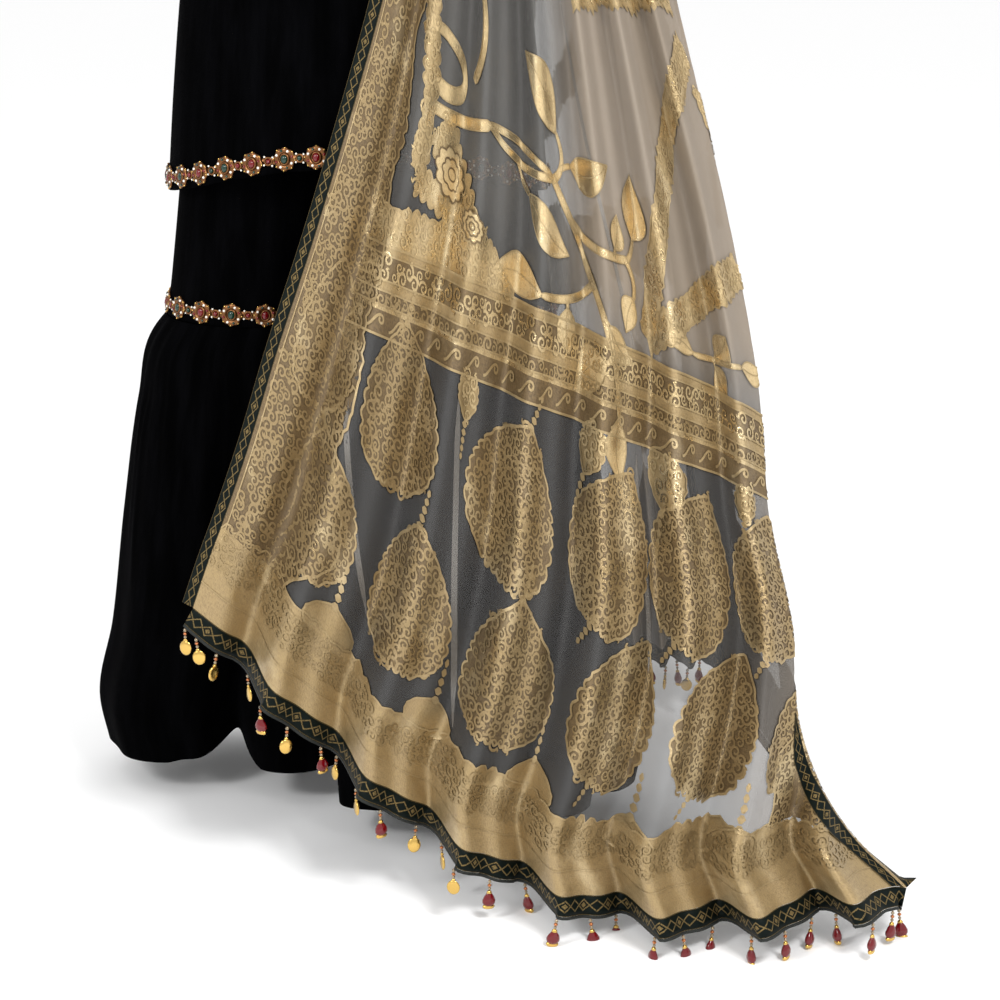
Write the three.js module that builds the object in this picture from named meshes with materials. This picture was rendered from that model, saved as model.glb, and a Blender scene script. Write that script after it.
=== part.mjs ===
// Gharara suit: kurta, gharara with two gathered flares, and a dupatta pinned on the left shoulder.
// Millimetres, +Z up, the wearer faces -Y and the wearer's left is +X.
// The origin is the middle of the neck, where the shoulders carry the suit.
import * as THREE from 'three';

// ---- driving dimensions -------------------------------------------------
const NECK_HEIGHT = 1410;          // the origin above the hem line of the flares
const VELVET = 1.8;                // wall of the velvet
const NET = 1.2;                   // wall of the brocade net
const SEAM_GAP = 0.3;              // between two pieces sewn to each other
const LIFT = 0.8;                  // a lace or trim above the cloth that it lies on
const NECK_HALF = 88;              // half width of the neck opening
const FRONT_NECK = 0.42;           // part of the yoke that the front neckline cuts away
const BACK_NECK = 0.14;
const SHOULDER_HALF = 188;
const ARMHOLE_HALF = 166;          // half the width across the front, between the armholes
const UNDERARM = 1240;
const WAIST = 1035;
const SLEEVE_EASE = 5;             // the sleeve leaves the armhole squarely
const KURTA_HEM = 659;
const KURTA_HEM_RISE = 42;         // the kurta's hem stands higher in the middle
const HEM_CURVE_FROM = 750;        // and this high up its rows are level again
const KURTA_FOLDS = 9;             // soft folds round half the kurta's skirt
const KURTA_FOLD_DEPTH = 3;
const LACE_WIDE = 25;              // lace across a medallion
const LACE_NARROW = 11;            // lace across a link
const LACE_RAISED = 3.2;
const LACE_FLAT = 1.2;
const LACE_TOP = 0.62;              // width of a medallion's flat top, as a share
const LACE_PITCH = 35;             // from medallion to medallion
const TRIM_WIDE = 20;
const TRIM_THICK = 1.2;
const TRIM_GAP = 0.5;              // between the cloth's edge, its trim and the strip of drops
const DUPATTA_FLUTES = 7.5;
const FLUTE_START = 0.79;          // where in its wave the first flute starts
const FLUTE_LEAN = 0.35;           // a flute is steeper on its inner side
const FRONT_DROPS = 30;
const BACK_DROPS = 16;
const DROP_LENGTH = 29;
const PENDANT_WIDE = 10;
const STRIP_TALL = 3;              // narrow strip that carries the bead drops

// Kurta sections, from the hem to the underarm: height, half width, half depth.
const KURTA_SECTIONS = [
  { height: KURTA_HEM, wide: 202, deep: 147, fold: 1.0 },
  { height: 760, wide: 194, deep: 141, fold: 0.5 },
  { height: 860, wide: 184, deep: 134, fold: 0.15 },
  { height: 950, wide: 173, deep: 126, fold: 0 },
  { height: WAIST, wide: 165, deep: 119, fold: 0 },
  { height: 1130, wide: 182, deep: 129, fold: 0 },
  { height: UNDERARM, wide: 200, deep: 133, fold: 0 },
];
const YOKE_STEPS = [0.06, 0.16, 0.32, 0.5, 0.68, 0.85, 1.0];

// Sleeve sections, from the shoulder down: centre, radius, and lean of the ring (degrees from upright).
const SLEEVE_SECTIONS = [
  { x: 219, height: 1297, radius: 66, lean: 78 },
  { x: 244, height: 1265, radius: 60, lean: 52 },
  { x: 260, height: 1222, radius: 57, lean: 24 },
  { x: 265, height: 1160, radius: 57, lean: 9 },
  { x: 269, height: 1080, radius: 55, lean: 6 },
  { x: 275, height: 940, radius: 53, lean: 3 },
];

// Gharara leg sections: hip ring, thigh ring, how far the hip has turned into a thigh,
// the gap at the inner leg, and how far the leg is forward (share of its step).
const LEG_SECTIONS = [
  { height: 1010, wide: 160, deep: 113, thigh: 0, inner: 0, step: 0 },
  { height: 940, wide: 165, deep: 118, thigh: 0, inner: 0, step: 0 },
  { height: 880, wide: 171, deep: 121, thigh: 0, inner: 0, step: 0 },
  { height: 845, wide: 173, deep: 116, thigh: 0.3, inner: 0, step: 0 },
  { height: 820, wide: 175, deep: 110, thigh: 0.68, inner: 0, step: 0 },
  { height: 800, wide: 177, deep: 102, thigh: 1, inner: 0.6, step: 0 },
  { height: 740, wide: 182, deep: 94, thigh: 1, inner: 2, step: 0.08 },
  { height: 660, wide: 191, deep: 88, thigh: 1, inner: 3, step: 0.3 },
  { height: 590, wide: 200, deep: 88, thigh: 1, inner: 3, step: 0.75 },
  { height: 546, wide: 206, deep: 90, thigh: 1, inner: 3, step: 0.97 },
  { height: 521, wide: 210, deep: 91, thigh: 1, inner: 3, step: 1 },
];
const WAISTBAND_TALL = 34;
const BAND_WALL = 2.7;

// Flare sections, from the knee down: outer side, inner side, half depth, place of its middle, fluting.
const FLARE_SECTIONS = [
  { height: 520.7, outer: 211, inner: 2, deep: 92, back: 0, flute: 0.04 },
  { height: 498, outer: 226, inner: 2, deep: 99, back: 0.06, flute: 0.12 },
  { height: 425, outer: 243, inner: -3, deep: 105, back: 0.24, flute: 0.28 },
  { height: 290, outer: 264, inner: -12, deep: 114, back: 0.55, flute: 0.52 },
  { height: 150, outer: 281, inner: -20, deep: 121, back: 0.81, flute: 0.8 },
  { height: 52, outer: 298, inner: -24, deep: 125, back: 0.97, flute: 1.0 },
  { height: 4, outer: 290, inner: -22, deep: 121, back: 1, flute: 0.96 },
];
const FLARE_COLUMNS = 52;

// Flutes of a flare: where (0 outer side, 90 front, 180 inner side, 270 back), reach and half spread.
const RIGHT_FLUTES = [
  { at: 4, reach: 13, spread: 17 },
  { at: 38, reach: 16, spread: 15 },
  { at: 62, reach: -9, spread: 8 },
  { at: 82, reach: -62, spread: 10 },
  { at: 112, reach: 20, spread: 17 },
  { at: 152, reach: -22, spread: 12 },
  { at: 184, reach: -8, spread: 14 },
  { at: 212, reach: -16, spread: 10 },
  { at: 238, reach: 13, spread: 13 },
  { at: 264, reach: -26, spread: 9 },
  { at: 290, reach: 14, spread: 13 },
  { at: 315, reach: -20, spread: 9 },
  { at: 337, reach: 9, spread: 10 },
];
const LEFT_FLUTES = [
  { at: 0, reach: 12, spread: 15 },
  { at: 32, reach: -18, spread: 9 },
  { at: 58, reach: 15, spread: 14 },
  { at: 86, reach: -34, spread: 9 },
  { at: 114, reach: 12, spread: 14 },
  { at: 146, reach: 30, spread: 13 },
  { at: 178, reach: -8, spread: 12 },
  { at: 208, reach: -15, spread: 10 },
  { at: 236, reach: 14, spread: 13 },
  { at: 266, reach: -24, spread: 9 },
  { at: 293, reach: 14, spread: 13 },
  { at: 324, reach: -17, spread: 10 },
];
const RIGHT_STEP = { knee: 20, hem: 100, valleyLift: 30 };   // how far back the leg stands
const LEFT_STEP = { knee: -30, hem: -46, valleyLift: 12 };

// Dupatta sections, from the front's lower edge, over the shoulder, to the back's lower edge:
// the inner (left) edge, the outer (right) silhouette, how far the middle sags and bows forward,
// the depth of the flutes, and the share of the width that turns back behind the outer side.
const DUPATTA_SECTIONS = [
  { lx: -165, ly: -218, lh: 258, rx: 558, ry: -374, rh: 14, sag: 122, bow: 88, flute: 30, turn: 0 },
  { lx: -149, ly: -216, lh: 304, rx: 508, ry: -366, rh: 60, sag: 114, bow: 82, flute: 30, turn: 0.03 },
  { lx: -127, ly: -210, lh: 362, rx: 472, ry: -356, rh: 112, sag: 104, bow: 74, flute: 28, turn: 0.1 },
  { lx: -102, ly: -202, lh: 434, rx: 448, ry: -338, rh: 180, sag: 92, bow: 62, flute: 26, turn: 0.16 },
  { lx: -74, ly: -192, lh: 524, rx: 442, ry: -312, rh: 270, sag: 74, bow: 48, flute: 23, turn: 0.18 },
  { lx: -36, ly: -182, lh: 636, rx: 420, ry: -275, rh: 375, sag: 56, bow: 34, flute: 19, turn: 0.18 },
  { lx: 6, ly: -176, lh: 770, rx: 409, ry: -238, rh: 503, sag: 40, bow: 26, flute: 16, turn: 0.17 },
  { lx: 36, ly: -172, lh: 874, rx: 378, ry: -200, rh: 665, sag: 28, bow: 20, flute: 13, turn: 0.15 },
  { lx: 68, ly: -172, lh: 1002, rx: 326, ry: -168, rh: 873, sag: 12, bow: 14, flute: 11, turn: 0.12 },
  { lx: 93, ly: -170, lh: 1132, rx: 286, ry: -150, rh: 1045, sag: 2, bow: 12, flute: 10, turn: 0.07 },
  { lx: 108, ly: -152, lh: 1252, rx: 252, ry: -132, rh: 1205, sag: 0, bow: 10, flute: 9, turn: 0.03 },
  { lx: 117, ly: -104, lh: 1350, rx: 228, ry: -106, rh: 1316, sag: 0, bow: 4, flute: 7, turn: 0 },
  { lx: 120, ly: -52, lh: 1405, rx: 212, ry: -54, rh: 1383, sag: 0, bow: 0, flute: 5, turn: 0 },
  { lx: 121, ly: 0, lh: 1415.2, rx: 209, ry: 0, rh: 1396.2, sag: 0, bow: 0, flute: 4, turn: 0 },
  { lx: 120, ly: 54, lh: 1405, rx: 214, ry: 54, rh: 1382, sag: 0, bow: 0, flute: 5, turn: 0 },
  { lx: 120, ly: 108, lh: 1342, rx: 228, ry: 106, rh: 1316, sag: 0, bow: 0, flute: 7, turn: 0 },
  { lx: 118, ly: 156, lh: 1224, rx: 250, ry: 134, rh: 1194, sag: 0, bow: 0, flute: 9, turn: 0 },
  { lx: 122, ly: 172, lh: 1040, rx: 284, ry: 156, rh: 1010, sag: 0, bow: 0, flute: 11, turn: 0 },
  { lx: 144, ly: 194, lh: 780, rx: 334, ry: 182, rh: 750, sag: 2, bow: -2, flute: 14, turn: 0 },
  { lx: 168, ly: 230, lh: 490, rx: 388, ry: 216, rh: 450, sag: 8, bow: -8, flute: 18, turn: 0 },
  { lx: 184, ly: 243, lh: 260, rx: 424, ry: 236, rh: 200, sag: 16, bow: -11, flute: 16, turn: 0 },
  { lx: 196, ly: 248, lh: 116, rx: 444, ry: 246, rh: 52, sag: 20, bow: -12, flute: 16, turn: 0 },
];
const SHOULDER_FROM = 12;          // the section where the stretch over the shoulder starts
const SHOULDER_TO = 14;            // and where it ends
const DUPATTA_COLUMNS = 38;
const DUPATTA_WIDE = 1000;         // the net's width, laid flat
const TURN_RADIUS = 40;            // how softly the outer side turns back
const TURN_INWARD = 0.5;           // the turned part heads this much inwards for each 1 back

// ---- colours ------------------------------------------------------------
const BLACK_VELVET = { color: 0x07070a, roughness: 0.92, metalness: 0 };
const GOLD_NET = { color: 0x9c7f4e, roughness: 0.45, metalness: 0.35 };
const JEWEL_LACE = { color: 0xb07a3c, roughness: 0.35, metalness: 0.7 };
const GREEN_TRIM = { color: 0x123528, roughness: 0.6, metalness: 0.1 };
const DROP_GOLD = { color: 0xc9a04a, roughness: 0.25, metalness: 0.8 };

const suit = new THREE.Group();

function addPiece(name, geometry, look) {
  const mesh = new THREE.Mesh(geometry, new THREE.MeshStandardMaterial(look));
  mesh.name = name;
  suit.add(mesh);
}

function point(x, y, height) {
  return new THREE.Vector3(x, y, height - NECK_HEIGHT);
}

// ---- grids of points ----------------------------------------------------
// A grid is a list of rows, and a row is a list of points.

function gridNormals(grid, wraps) {
  const last = grid[0].length - 1;
  const step = (column, by) => {
    const next = column + by;
    return wraps ? (next + last + 1) % (last + 1) : Math.min(last, Math.max(0, next));
  };
  return grid.map((row, r) => row.map((_, c) => {
    const across = row[step(c, 1)].clone().sub(row[step(c, -1)]);
    const below = grid[Math.max(0, r - 1)][c];
    const above = grid[Math.min(grid.length - 1, r + 1)][c];
    return across.cross(above.clone().sub(below)).normalize();
  }));
}

// Closed mesh from an outer and an inner grid of the same size.
function shell(outer, inner, wraps) {
  const rows = outer.length;
  const columns = outer[0].length;
  const points = [...outer.flat(), ...inner.flat()];
  const faces = [];
  const at = (layer, r, c) => layer * rows * columns + r * columns + (c % columns);
  const quad = (a, b, c, d) => faces.push([a, b, c], [a, c, d]);
  const spans = wraps ? columns : columns - 1;
  for (let r = 0; r < rows - 1; r += 1) {
    for (let c = 0; c < spans; c += 1) {
      quad(at(0, r, c), at(0, r, c + 1), at(0, r + 1, c + 1), at(0, r + 1, c));
      quad(at(1, r, c), at(1, r + 1, c), at(1, r + 1, c + 1), at(1, r, c + 1));
    }
  }
  for (let c = 0; c < spans; c += 1) {
    quad(at(0, 0, c), at(1, 0, c), at(1, 0, c + 1), at(0, 0, c + 1));
    quad(at(0, rows - 1, c), at(0, rows - 1, c + 1), at(1, rows - 1, c + 1), at(1, rows - 1, c));
  }
  if (!wraps) {
    for (let r = 0; r < rows - 1; r += 1) {
      quad(at(0, r, 0), at(0, r + 1, 0), at(1, r + 1, 0), at(1, r, 0));
      const end = columns - 1;
      quad(at(0, r, end), at(1, r, end), at(1, r + 1, end), at(0, r + 1, end));
    }
  }
  return closedGeometry(points, faces);
}

function closedGeometry(points, faces) {
  let volume = 0;
  for (const [a, b, c] of faces) {
    volume += points[a].dot(points[b].clone().cross(points[c]));
  }
  const order = volume < 0 ? faces.map(([a, b, c]) => [a, c, b]) : faces;
  const geometry = new THREE.BufferGeometry();
  const flat = points.flatMap((p) => [p.x, p.y, p.z]);
  geometry.setAttribute('position', new THREE.Float32BufferAttribute(flat, 3));
  geometry.setIndex(order.flat());
  geometry.computeVertexNormals();
  return geometry;
}

function moved(grid, normals, distance) {
  return grid.map((row, r) => row.map((p, c) => p.clone().addScaledVector(normals[r][c], distance)));
}

// Pulls the first and last column in by half a seam gap.
function trimmedSides(grid) {
  return grid.map((row) => {
    const end = row.length - 1;
    const trimmed = row.map((p) => p.clone());
    trimmed[0].add(row[1].clone().sub(row[0]).setLength(SEAM_GAP / 2));
    trimmed[end].add(row[end - 1].clone().sub(row[end]).setLength(SEAM_GAP / 2));
    return trimmed;
  });
}

function between(a, b, share) {
  return a + (b - a) * share;
}

// ---- kurta --------------------------------------------------------------
// Columns run from side seam to side seam, as cosines; one falls on each neck point.
const neckCosine = NECK_HALF / SHOULDER_HALF;
const shoulderColumns = [1, 0.94, 0.81, 0.64];
const NECK_SPANS = 8;
const neckColumns = Array.from({ length: NECK_SPANS + 1 }, (_, k) => (
  neckCosine * Math.cos(Math.PI * k / NECK_SPANS)));
const KURTA_COLUMNS = [...shoulderColumns, ...neckColumns, ...[...shoulderColumns].reverse().map((c) => -c)];

function kurtaRow(section, front) {
  return KURTA_COLUMNS.map((cosine) => {
    const sine = Math.sqrt(Math.max(0, 1 - cosine * cosine));
    const turn = Math.acos(cosine);
    const wave = Math.cos(turn * KURTA_FOLDS * 2) * KURTA_FOLD_DEPTH * section.fold * sine;
    const curved = Math.max(0, HEM_CURVE_FROM - section.height) / (HEM_CURVE_FROM - KURTA_HEM);
    const rise = KURTA_HEM_RISE * sine * sine * curved;
    const y = (section.deep + wave) * sine * front;
    return point(cosine * -section.wide, y, section.height + rise);
  });
}

function armholeHalf(step) {
  const top = KURTA_SECTIONS[KURTA_SECTIONS.length - 1];
  const cut = (top.wide - ARMHOLE_HALF) * Math.sin(Math.PI * Math.min(1, step)) ** 0.8;
  return between(top.wide, SHOULDER_HALF, step) - cut;
}

function yokePoint(cosine, step, front) {
  const top = KURTA_SECTIONS[KURTA_SECTIONS.length - 1];
  const neckCut = front < 0 ? FRONT_NECK : BACK_NECK;
  const tipX = SHOULDER_HALF * cosine;
  const inNeck = Math.abs(tipX) < NECK_HALF - 0.01;
  const cut = inNeck ? neckCut * Math.sqrt(1 - (tipX / NECK_HALF) ** 2) : 0;
  const reached = step * (1 - cut);
  const x = cosine * armholeHalf(reached);
  const slope = Math.max(0, Math.abs(x) - NECK_HALF) / (SHOULDER_HALF - NECK_HALF);
  const shoulder = 1421 - 33 * slope;
  const across = Math.sqrt(Math.max(0, 1 - (x / top.wide) ** 2));
  const round = Math.cos(reached * Math.PI / 2);
  const height = UNDERARM + (shoulder - UNDERARM) * Math.sin(reached * Math.PI / 2);
  return point(-x, front * top.deep * across * round, height);
}

function kurtaGrid(front) {
  const skirt = KURTA_SECTIONS.map((section) => kurtaRow(section, front));
  const yoke = YOKE_STEPS.map((step) => KURTA_COLUMNS.map((cosine) => yokePoint(cosine, step, front)));
  return [...skirt, ...yoke];
}

// Side seams and shoulder seams face their neighbour squarely.
function squareNormals(normals, front) {
  const skirtRows = KURTA_SECTIONS.length;
  const end = normals[0].length - 1;
  normals.forEach((row, r) => {
    row.forEach((n) => n.multiplyScalar(-front));
    if (r < skirtRows) {
      row[0].setY(0).normalize();
      row[end].setY(0).normalize();
    }
  });
  const topRow = normals[normals.length - 1];
  topRow.forEach((n, c) => {
    if (Math.abs(KURTA_COLUMNS[c]) >= neckCosine - 1e-6) {
      n.setY(0).normalize();
    }
  });
  return normals;
}

function kurtaPanel(front) {
  const grid = kurtaGrid(front);
  const normals = squareNormals(gridNormals(grid, false), front);
  const seamed = trimmedSides(grid);
  const top = seamed[seamed.length - 1];
  top.forEach((p, c) => {
    if (Math.abs(KURTA_COLUMNS[c]) >= neckCosine - 1e-6) {
      p.y += front * SEAM_GAP / 2;
    }
  });
  return { outer: seamed, normals, inner: moved(seamed, normals, -VELVET) };
}

const kurtaFront = kurtaPanel(-1);
const kurtaBack = kurtaPanel(1);
addPiece('kurta_front', shell(kurtaFront.outer, kurtaFront.inner, false), BLACK_VELVET);
addPiece('kurta_back', shell(kurtaBack.outer, kurtaBack.inner, false), BLACK_VELVET);

// ---- sleeves ------------------------------------------------------------
// The first ring follows the armhole: up the front edge, then down the back edge.
function armholeRing(side, layer) {
  const first = KURTA_SECTIONS.length - 1;
  const column = side > 0 ? KURTA_COLUMNS.length - 1 : 0;
  const pick = (panel) => panel[layer].slice(first).map((row) => row[column]);
  const normalOf = (panel) => panel.normals.slice(first).map((row) => row[column]);
  const front = pick(kurtaFront);
  const back = pick(kurtaBack);
  const ring = [...front, ...back.slice(1).reverse()];
  const normals = [...normalOf(kurtaFront), ...normalOf(kurtaBack).slice(1).reverse()];
  return ring.map((p, k) => {
    const before = ring[(k + ring.length - 1) % ring.length];
    const after = ring[(k + 1) % ring.length];
    const along = after.clone().sub(before).normalize();
    const away = new THREE.Vector3(side, 0, 0.35);
    away.addScaledVector(normals[k], -away.dot(normals[k]));
    away.addScaledVector(along, -away.dot(along)).normalize();
    return p.clone().addScaledVector(away, SEAM_GAP + 0.1);
  });
}

// Each ring starts with the armhole's own turns and ends with even ones.
function ringTurns(start, even) {
  const middle = (start[0].z + start[(start.length - 1) / 2 + 0.5 | 0].z) / 2;
  return start.map((p, k) => {
    const own = (Math.atan2(-p.y, middle - p.z) + 2 * Math.PI) % (2 * Math.PI);
    return between(own, 2 * Math.PI * k / start.length, even);
  });
}

function sleeveRing(section, side, turns) {
  const lean = section.lean * Math.PI / 180;
  const out = new THREE.Vector3(side * Math.cos(lean), 0, Math.sin(lean));
  const ahead = new THREE.Vector3(0, -1, 0);
  const centre = point(side * section.x, 0, section.height);
  return turns.map((turn) => centre.clone()
    .addScaledVector(out, -section.radius * Math.cos(turn))
    .addScaledVector(ahead, section.radius * Math.sin(turn)));
}

function sleeve(name, side) {
  const start = armholeRing(side, 'outer');
  const last = SLEEVE_SECTIONS.length - 1;
  const rings = SLEEVE_SECTIONS.map((section, k) => sleeveRing(section, side, ringTurns(start, k / last)));
  const eased = start.map((p) => p.clone().add(new THREE.Vector3(side * SLEEVE_EASE, 0, 0)));
  const outer = [start, eased, ...rings];
  const normals = gridNormals(outer, true);
  const outwards = outer[3][3].clone().sub(point(side * SLEEVE_SECTIONS[2].x, 0, SLEEVE_SECTIONS[2].height));
  const inner = moved(outer, normals, -VELVET * Math.sign(normals[3][3].dot(outwards)));
  inner[0] = armholeRing(side, 'inner');
  addPiece(name, shell(outer, inner, true), BLACK_VELVET);
}

sleeve('sleeve_right', -1);
sleeve('sleeve_left', 1);

// ---- gharara legs -------------------------------------------------------
const LEG_COLUMNS = 8;             // from the inner seam to the side seam

function stepBack(side) {
  return side < 0 ? RIGHT_STEP : LEFT_STEP;
}

function legPoint(section, side, face, share) {
  const hipX = section.wide * Math.sin(share * Math.PI / 2);
  const hipY = section.deep * Math.cos(share * Math.PI / 2);
  const middle = (section.wide + section.inner) / 2;
  const radius = (section.wide - section.inner) / 2;
  const thighX = middle - radius * Math.cos(share * Math.PI);
  const thighY = section.deep * Math.sin(share * Math.PI);
  const x = between(hipX, thighX, section.thigh);
  const y = between(hipY, thighY, section.thigh);
  const forward = stepBack(side).knee * section.step;
  return point(side * x, face * y + forward, section.height);
}

function legGrid(side, face) {
  return LEG_SECTIONS.map((section) => {
    const shares = Array.from({ length: LEG_COLUMNS + 1 }, (_, k) => k / LEG_COLUMNS);
    return shares.map((share) => legPoint(section, side, face, share));
  });
}

function legPanel(side, face) {
  const grid = legGrid(side, face);
  const normals = gridNormals(grid, false);
  const outward = Math.sign(normals[1][4].y * face);
  normals.forEach((row, r) => {
    row.forEach((n) => n.multiplyScalar(outward));
    row[LEG_COLUMNS].setY(0).normalize();
    if (LEG_SECTIONS[r].thigh < 1) {
      row[0].setX(0).normalize();
    } else {
      row[0].setY(0).normalize();
    }
  });
  const seamed = trimmedSides(grid);
  return { outer: seamed, normals, inner: moved(seamed, normals, -VELVET) };
}

function leg(name, side) {
  const front = legPanel(side, -1);
  const back = legPanel(side, 1);
  addPiece(`${name}_leg_front`, shell(front.outer, front.inner, false), BLACK_VELVET);
  addPiece(`${name}_leg_back`, shell(back.outer, back.inner, false), BLACK_VELVET);
}

leg('right', -1);
leg('left', 1);

// The waistband is a ring that the kurta's waist rests on.
function waistband() {
  const waist = KURTA_SECTIONS.find((section) => section.height === WAIST);
  const turns = [...KURTA_COLUMNS.map((c) => -Math.acos(c)), ...KURTA_COLUMNS.slice(1, -1).map((c) => Math.PI - Math.acos(c))];
  const ring = (height, taken) => turns.map((turn) => (
    point(-(waist.wide - taken) * Math.cos(turn), (waist.deep - taken) * Math.sin(turn), height)));
  const low = LEG_SECTIONS[0].height + SEAM_GAP;
  const clear = VELVET + SEAM_GAP * 2;
  const outer = [ring(low, clear + 3), ring(WAIST, clear), ring(low + WAISTBAND_TALL, clear + 1)];
  const inner = [ring(low, clear + 3 + BAND_WALL), ring(WAIST, clear + BAND_WALL),
    ring(low + WAISTBAND_TALL, clear + 1 + BAND_WALL)];
  addPiece('gharara_waistband', shell(outer, inner, true), BLACK_VELVET);
}

waistband();

// ---- flares -------------------------------------------------------------
function fluteSum(flutes, angle) {
  return flutes.reduce((sum, flute) => {
    const apart = Math.abs(((angle - flute.at + 540) % 360) - 180);
    return sum + flute.reach * Math.exp(-((apart / flute.spread) ** 2));
  }, 0);
}

function flareGrid(side, flutes) {
  const step = stepBack(side);
  return FLARE_SECTIONS.map((section, r) => Array.from({ length: FLARE_COLUMNS }, (_, k) => {
    const angle = 360 * k / FLARE_COLUMNS;
    const turn = angle * Math.PI / 180;
    const out = fluteSum(flutes, angle) * section.flute;
    const gathers = r === 0 ? 0 : 1.2 * Math.cos(turn * 30) * (1 - section.flute);
    const middle = (section.outer + section.inner) / 2;
    const half = (section.outer - section.inner) / 2;
    const x = middle + (half + out + gathers) * Math.cos(turn);
    const y = -(section.deep + out + gathers) * Math.sin(turn);
    const valley = Math.max(0, -out) / 62;
    const lift = section.height < 10 ? step.valleyLift * valley : 0;
    return point(side * x, y + between(step.knee, step.hem, section.back), section.height + lift);
  }));
}

function flare(name, side, flutes) {
  const outer = flareGrid(side, flutes);
  const normals = gridNormals(outer, true);
  const facing = Math.sign(normals[2][0].x * side);
  addPiece(name, shell(outer, moved(outer, normals, -VELVET * facing), true), BLACK_VELVET);
}

flare('right_flare', -1, RIGHT_FLUTES);
flare('left_flare', 1, LEFT_FLUTES);

// ---- jewelled laces -----------------------------------------------------
// A lace follows a row of base points, with a row of the cloth's points above it, and stands
// wide and raised at each medallion, narrow and low at each link.
const LACE_CUTS = 5;               // columns to a pitch

function laceProfile(share) {
  const medallion = Math.max(0, Math.cos(2 * Math.PI * share)) ** 0.6;
  return {
    half: between(LACE_NARROW, LACE_WIDE, medallion) / 2,
    thick: between(LACE_FLAT, LACE_RAISED, medallion),
  };
}

// Points along a line of points, at even steps, with the way up and the way out at each.
function evenSteps(base, up, out, steps, wraps) {
  const line = wraps ? [...base, base[0]] : base;
  const lengths = [0];
  for (let k = 1; k < line.length; k += 1) {
    lengths.push(lengths[k - 1] + line[k].distanceTo(line[k - 1]));
  }
  const total = lengths[lengths.length - 1];
  const count = wraps ? steps : steps + 1;
  return Array.from({ length: count }, (_, s) => {
    const reach = total * s / steps;
    let k = 1;
    while (k < line.length - 1 && lengths[k] < reach) {
      k += 1;
    }
    const share = (reach - lengths[k - 1]) / (lengths[k] - lengths[k - 1]);
    const next = k % base.length;
    const mix = (list) => list[k - 1].clone().lerp(list[next], share);
    return { at: mix(base), up: mix(up).normalize(), out: mix(out).normalize() };
  });
}

function laceShell(path, wraps) {
  const rowAt = (row, width, high) => path.map((spot, k) => {
    const { half, thick } = laceProfile(k / LACE_CUTS);
    const p = spot.at.clone().addScaledVector(spot.up, row * width * half);
    return p.addScaledVector(spot.out, LIFT + high * thick);
  });
  const top = [rowAt(-1, LACE_TOP, 1), rowAt(1, LACE_TOP, 1)];
  const base = [rowAt(-1, 1, 0), rowAt(1, 1, 0)];
  return shell(top, base, wraps);
}

function lengthOf(line, wraps) {
  const closed = wraps ? [...line, line[0]] : line;
  return closed.slice(1).reduce((sum, p, k) => sum + p.distanceTo(closed[k]), 0);
}

function lace(name, base, up, out, wraps) {
  const pitches = Math.round(lengthOf(base, wraps) / LACE_PITCH);
  const path = evenSteps(base, up, out, pitches * LACE_CUTS, wraps);
  addPiece(name, laceShell(path, wraps), JEWEL_LACE);
}

function hemLace(name, panel) {
  const low = panel.outer[0];
  const up = low.map((p, c) => panel.outer[1][c].clone().sub(p).normalize());
  const base = low.map((p, c) => p.clone().addScaledVector(up[c], LACE_WIDE / 2 + 1));
  lace(name, base, up, panel.normals[0], false);
}

hemLace('hem_lace_front', kurtaFront);
hemLace('hem_lace_back', kurtaBack);

function kneeLace(name, side) {
  const last = LEG_SECTIONS.length - 1;
  const ringOf = (r) => {
    const front = legPanel(side, -1).outer[r];
    const back = legPanel(side, 1).outer[r];
    return [...front.slice(0, -1), ...[...back].reverse().slice(0, -1)];
  };
  const low = ringOf(last);
  const above = ringOf(last - 1);
  const up = low.map((p, k) => above[k].clone().sub(p).normalize());
  const base = low.map((p, k) => p.clone().addScaledVector(up[k], LACE_WIDE / 2 + 1));
  const middle = low.reduce((sum, p) => sum.add(p), new THREE.Vector3()).divideScalar(low.length);
  const out = low.map((p, k) => {
    const before = low[(k + low.length - 1) % low.length];
    const after = low[(k + 1) % low.length];
    const away = after.clone().sub(before).cross(up[k]).normalize();
    return away.multiplyScalar(Math.sign(away.dot(p.clone().sub(middle))));
  });
  lace(name, base, up, out, true);
}

kneeLace('knee_lace_right', -1);
kneeLace('knee_lace_left', 1);

// ---- dupatta ------------------------------------------------------------
function fluteWave(share) {
  const turn = 2 * Math.PI * (DUPATTA_FLUTES * share + FLUTE_START);
  return FLUTE_LEAN * Math.sin(2 * turn) - Math.sin(turn);
}

function fallPoint(section, share) {
  const face = 1 - section.turn;
  const reach = Math.min(1, share / face);
  const sag = section.sag * Math.sin(Math.PI * reach ** 0.85) ** 1.4;
  const bow = section.bow * Math.sin(Math.PI * reach ** 1.9);
  const ends = Math.max(0, Math.min(1, share / 0.06, (face - share) / 0.06));
  const behind = Math.max(0, share - face) * DUPATTA_WIDE * 0.9;
  const softly = behind * behind / (behind + TURN_RADIUS);
  return {
    x: between(section.lx, section.rx, reach) - TURN_INWARD * softly,
    y: between(section.ly, section.ry, reach) - bow + 0.85 * behind,
    height: between(section.lh, section.rh, reach) - sag,
    wave: section.flute * fluteWave(share) * ends,
  };
}

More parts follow.
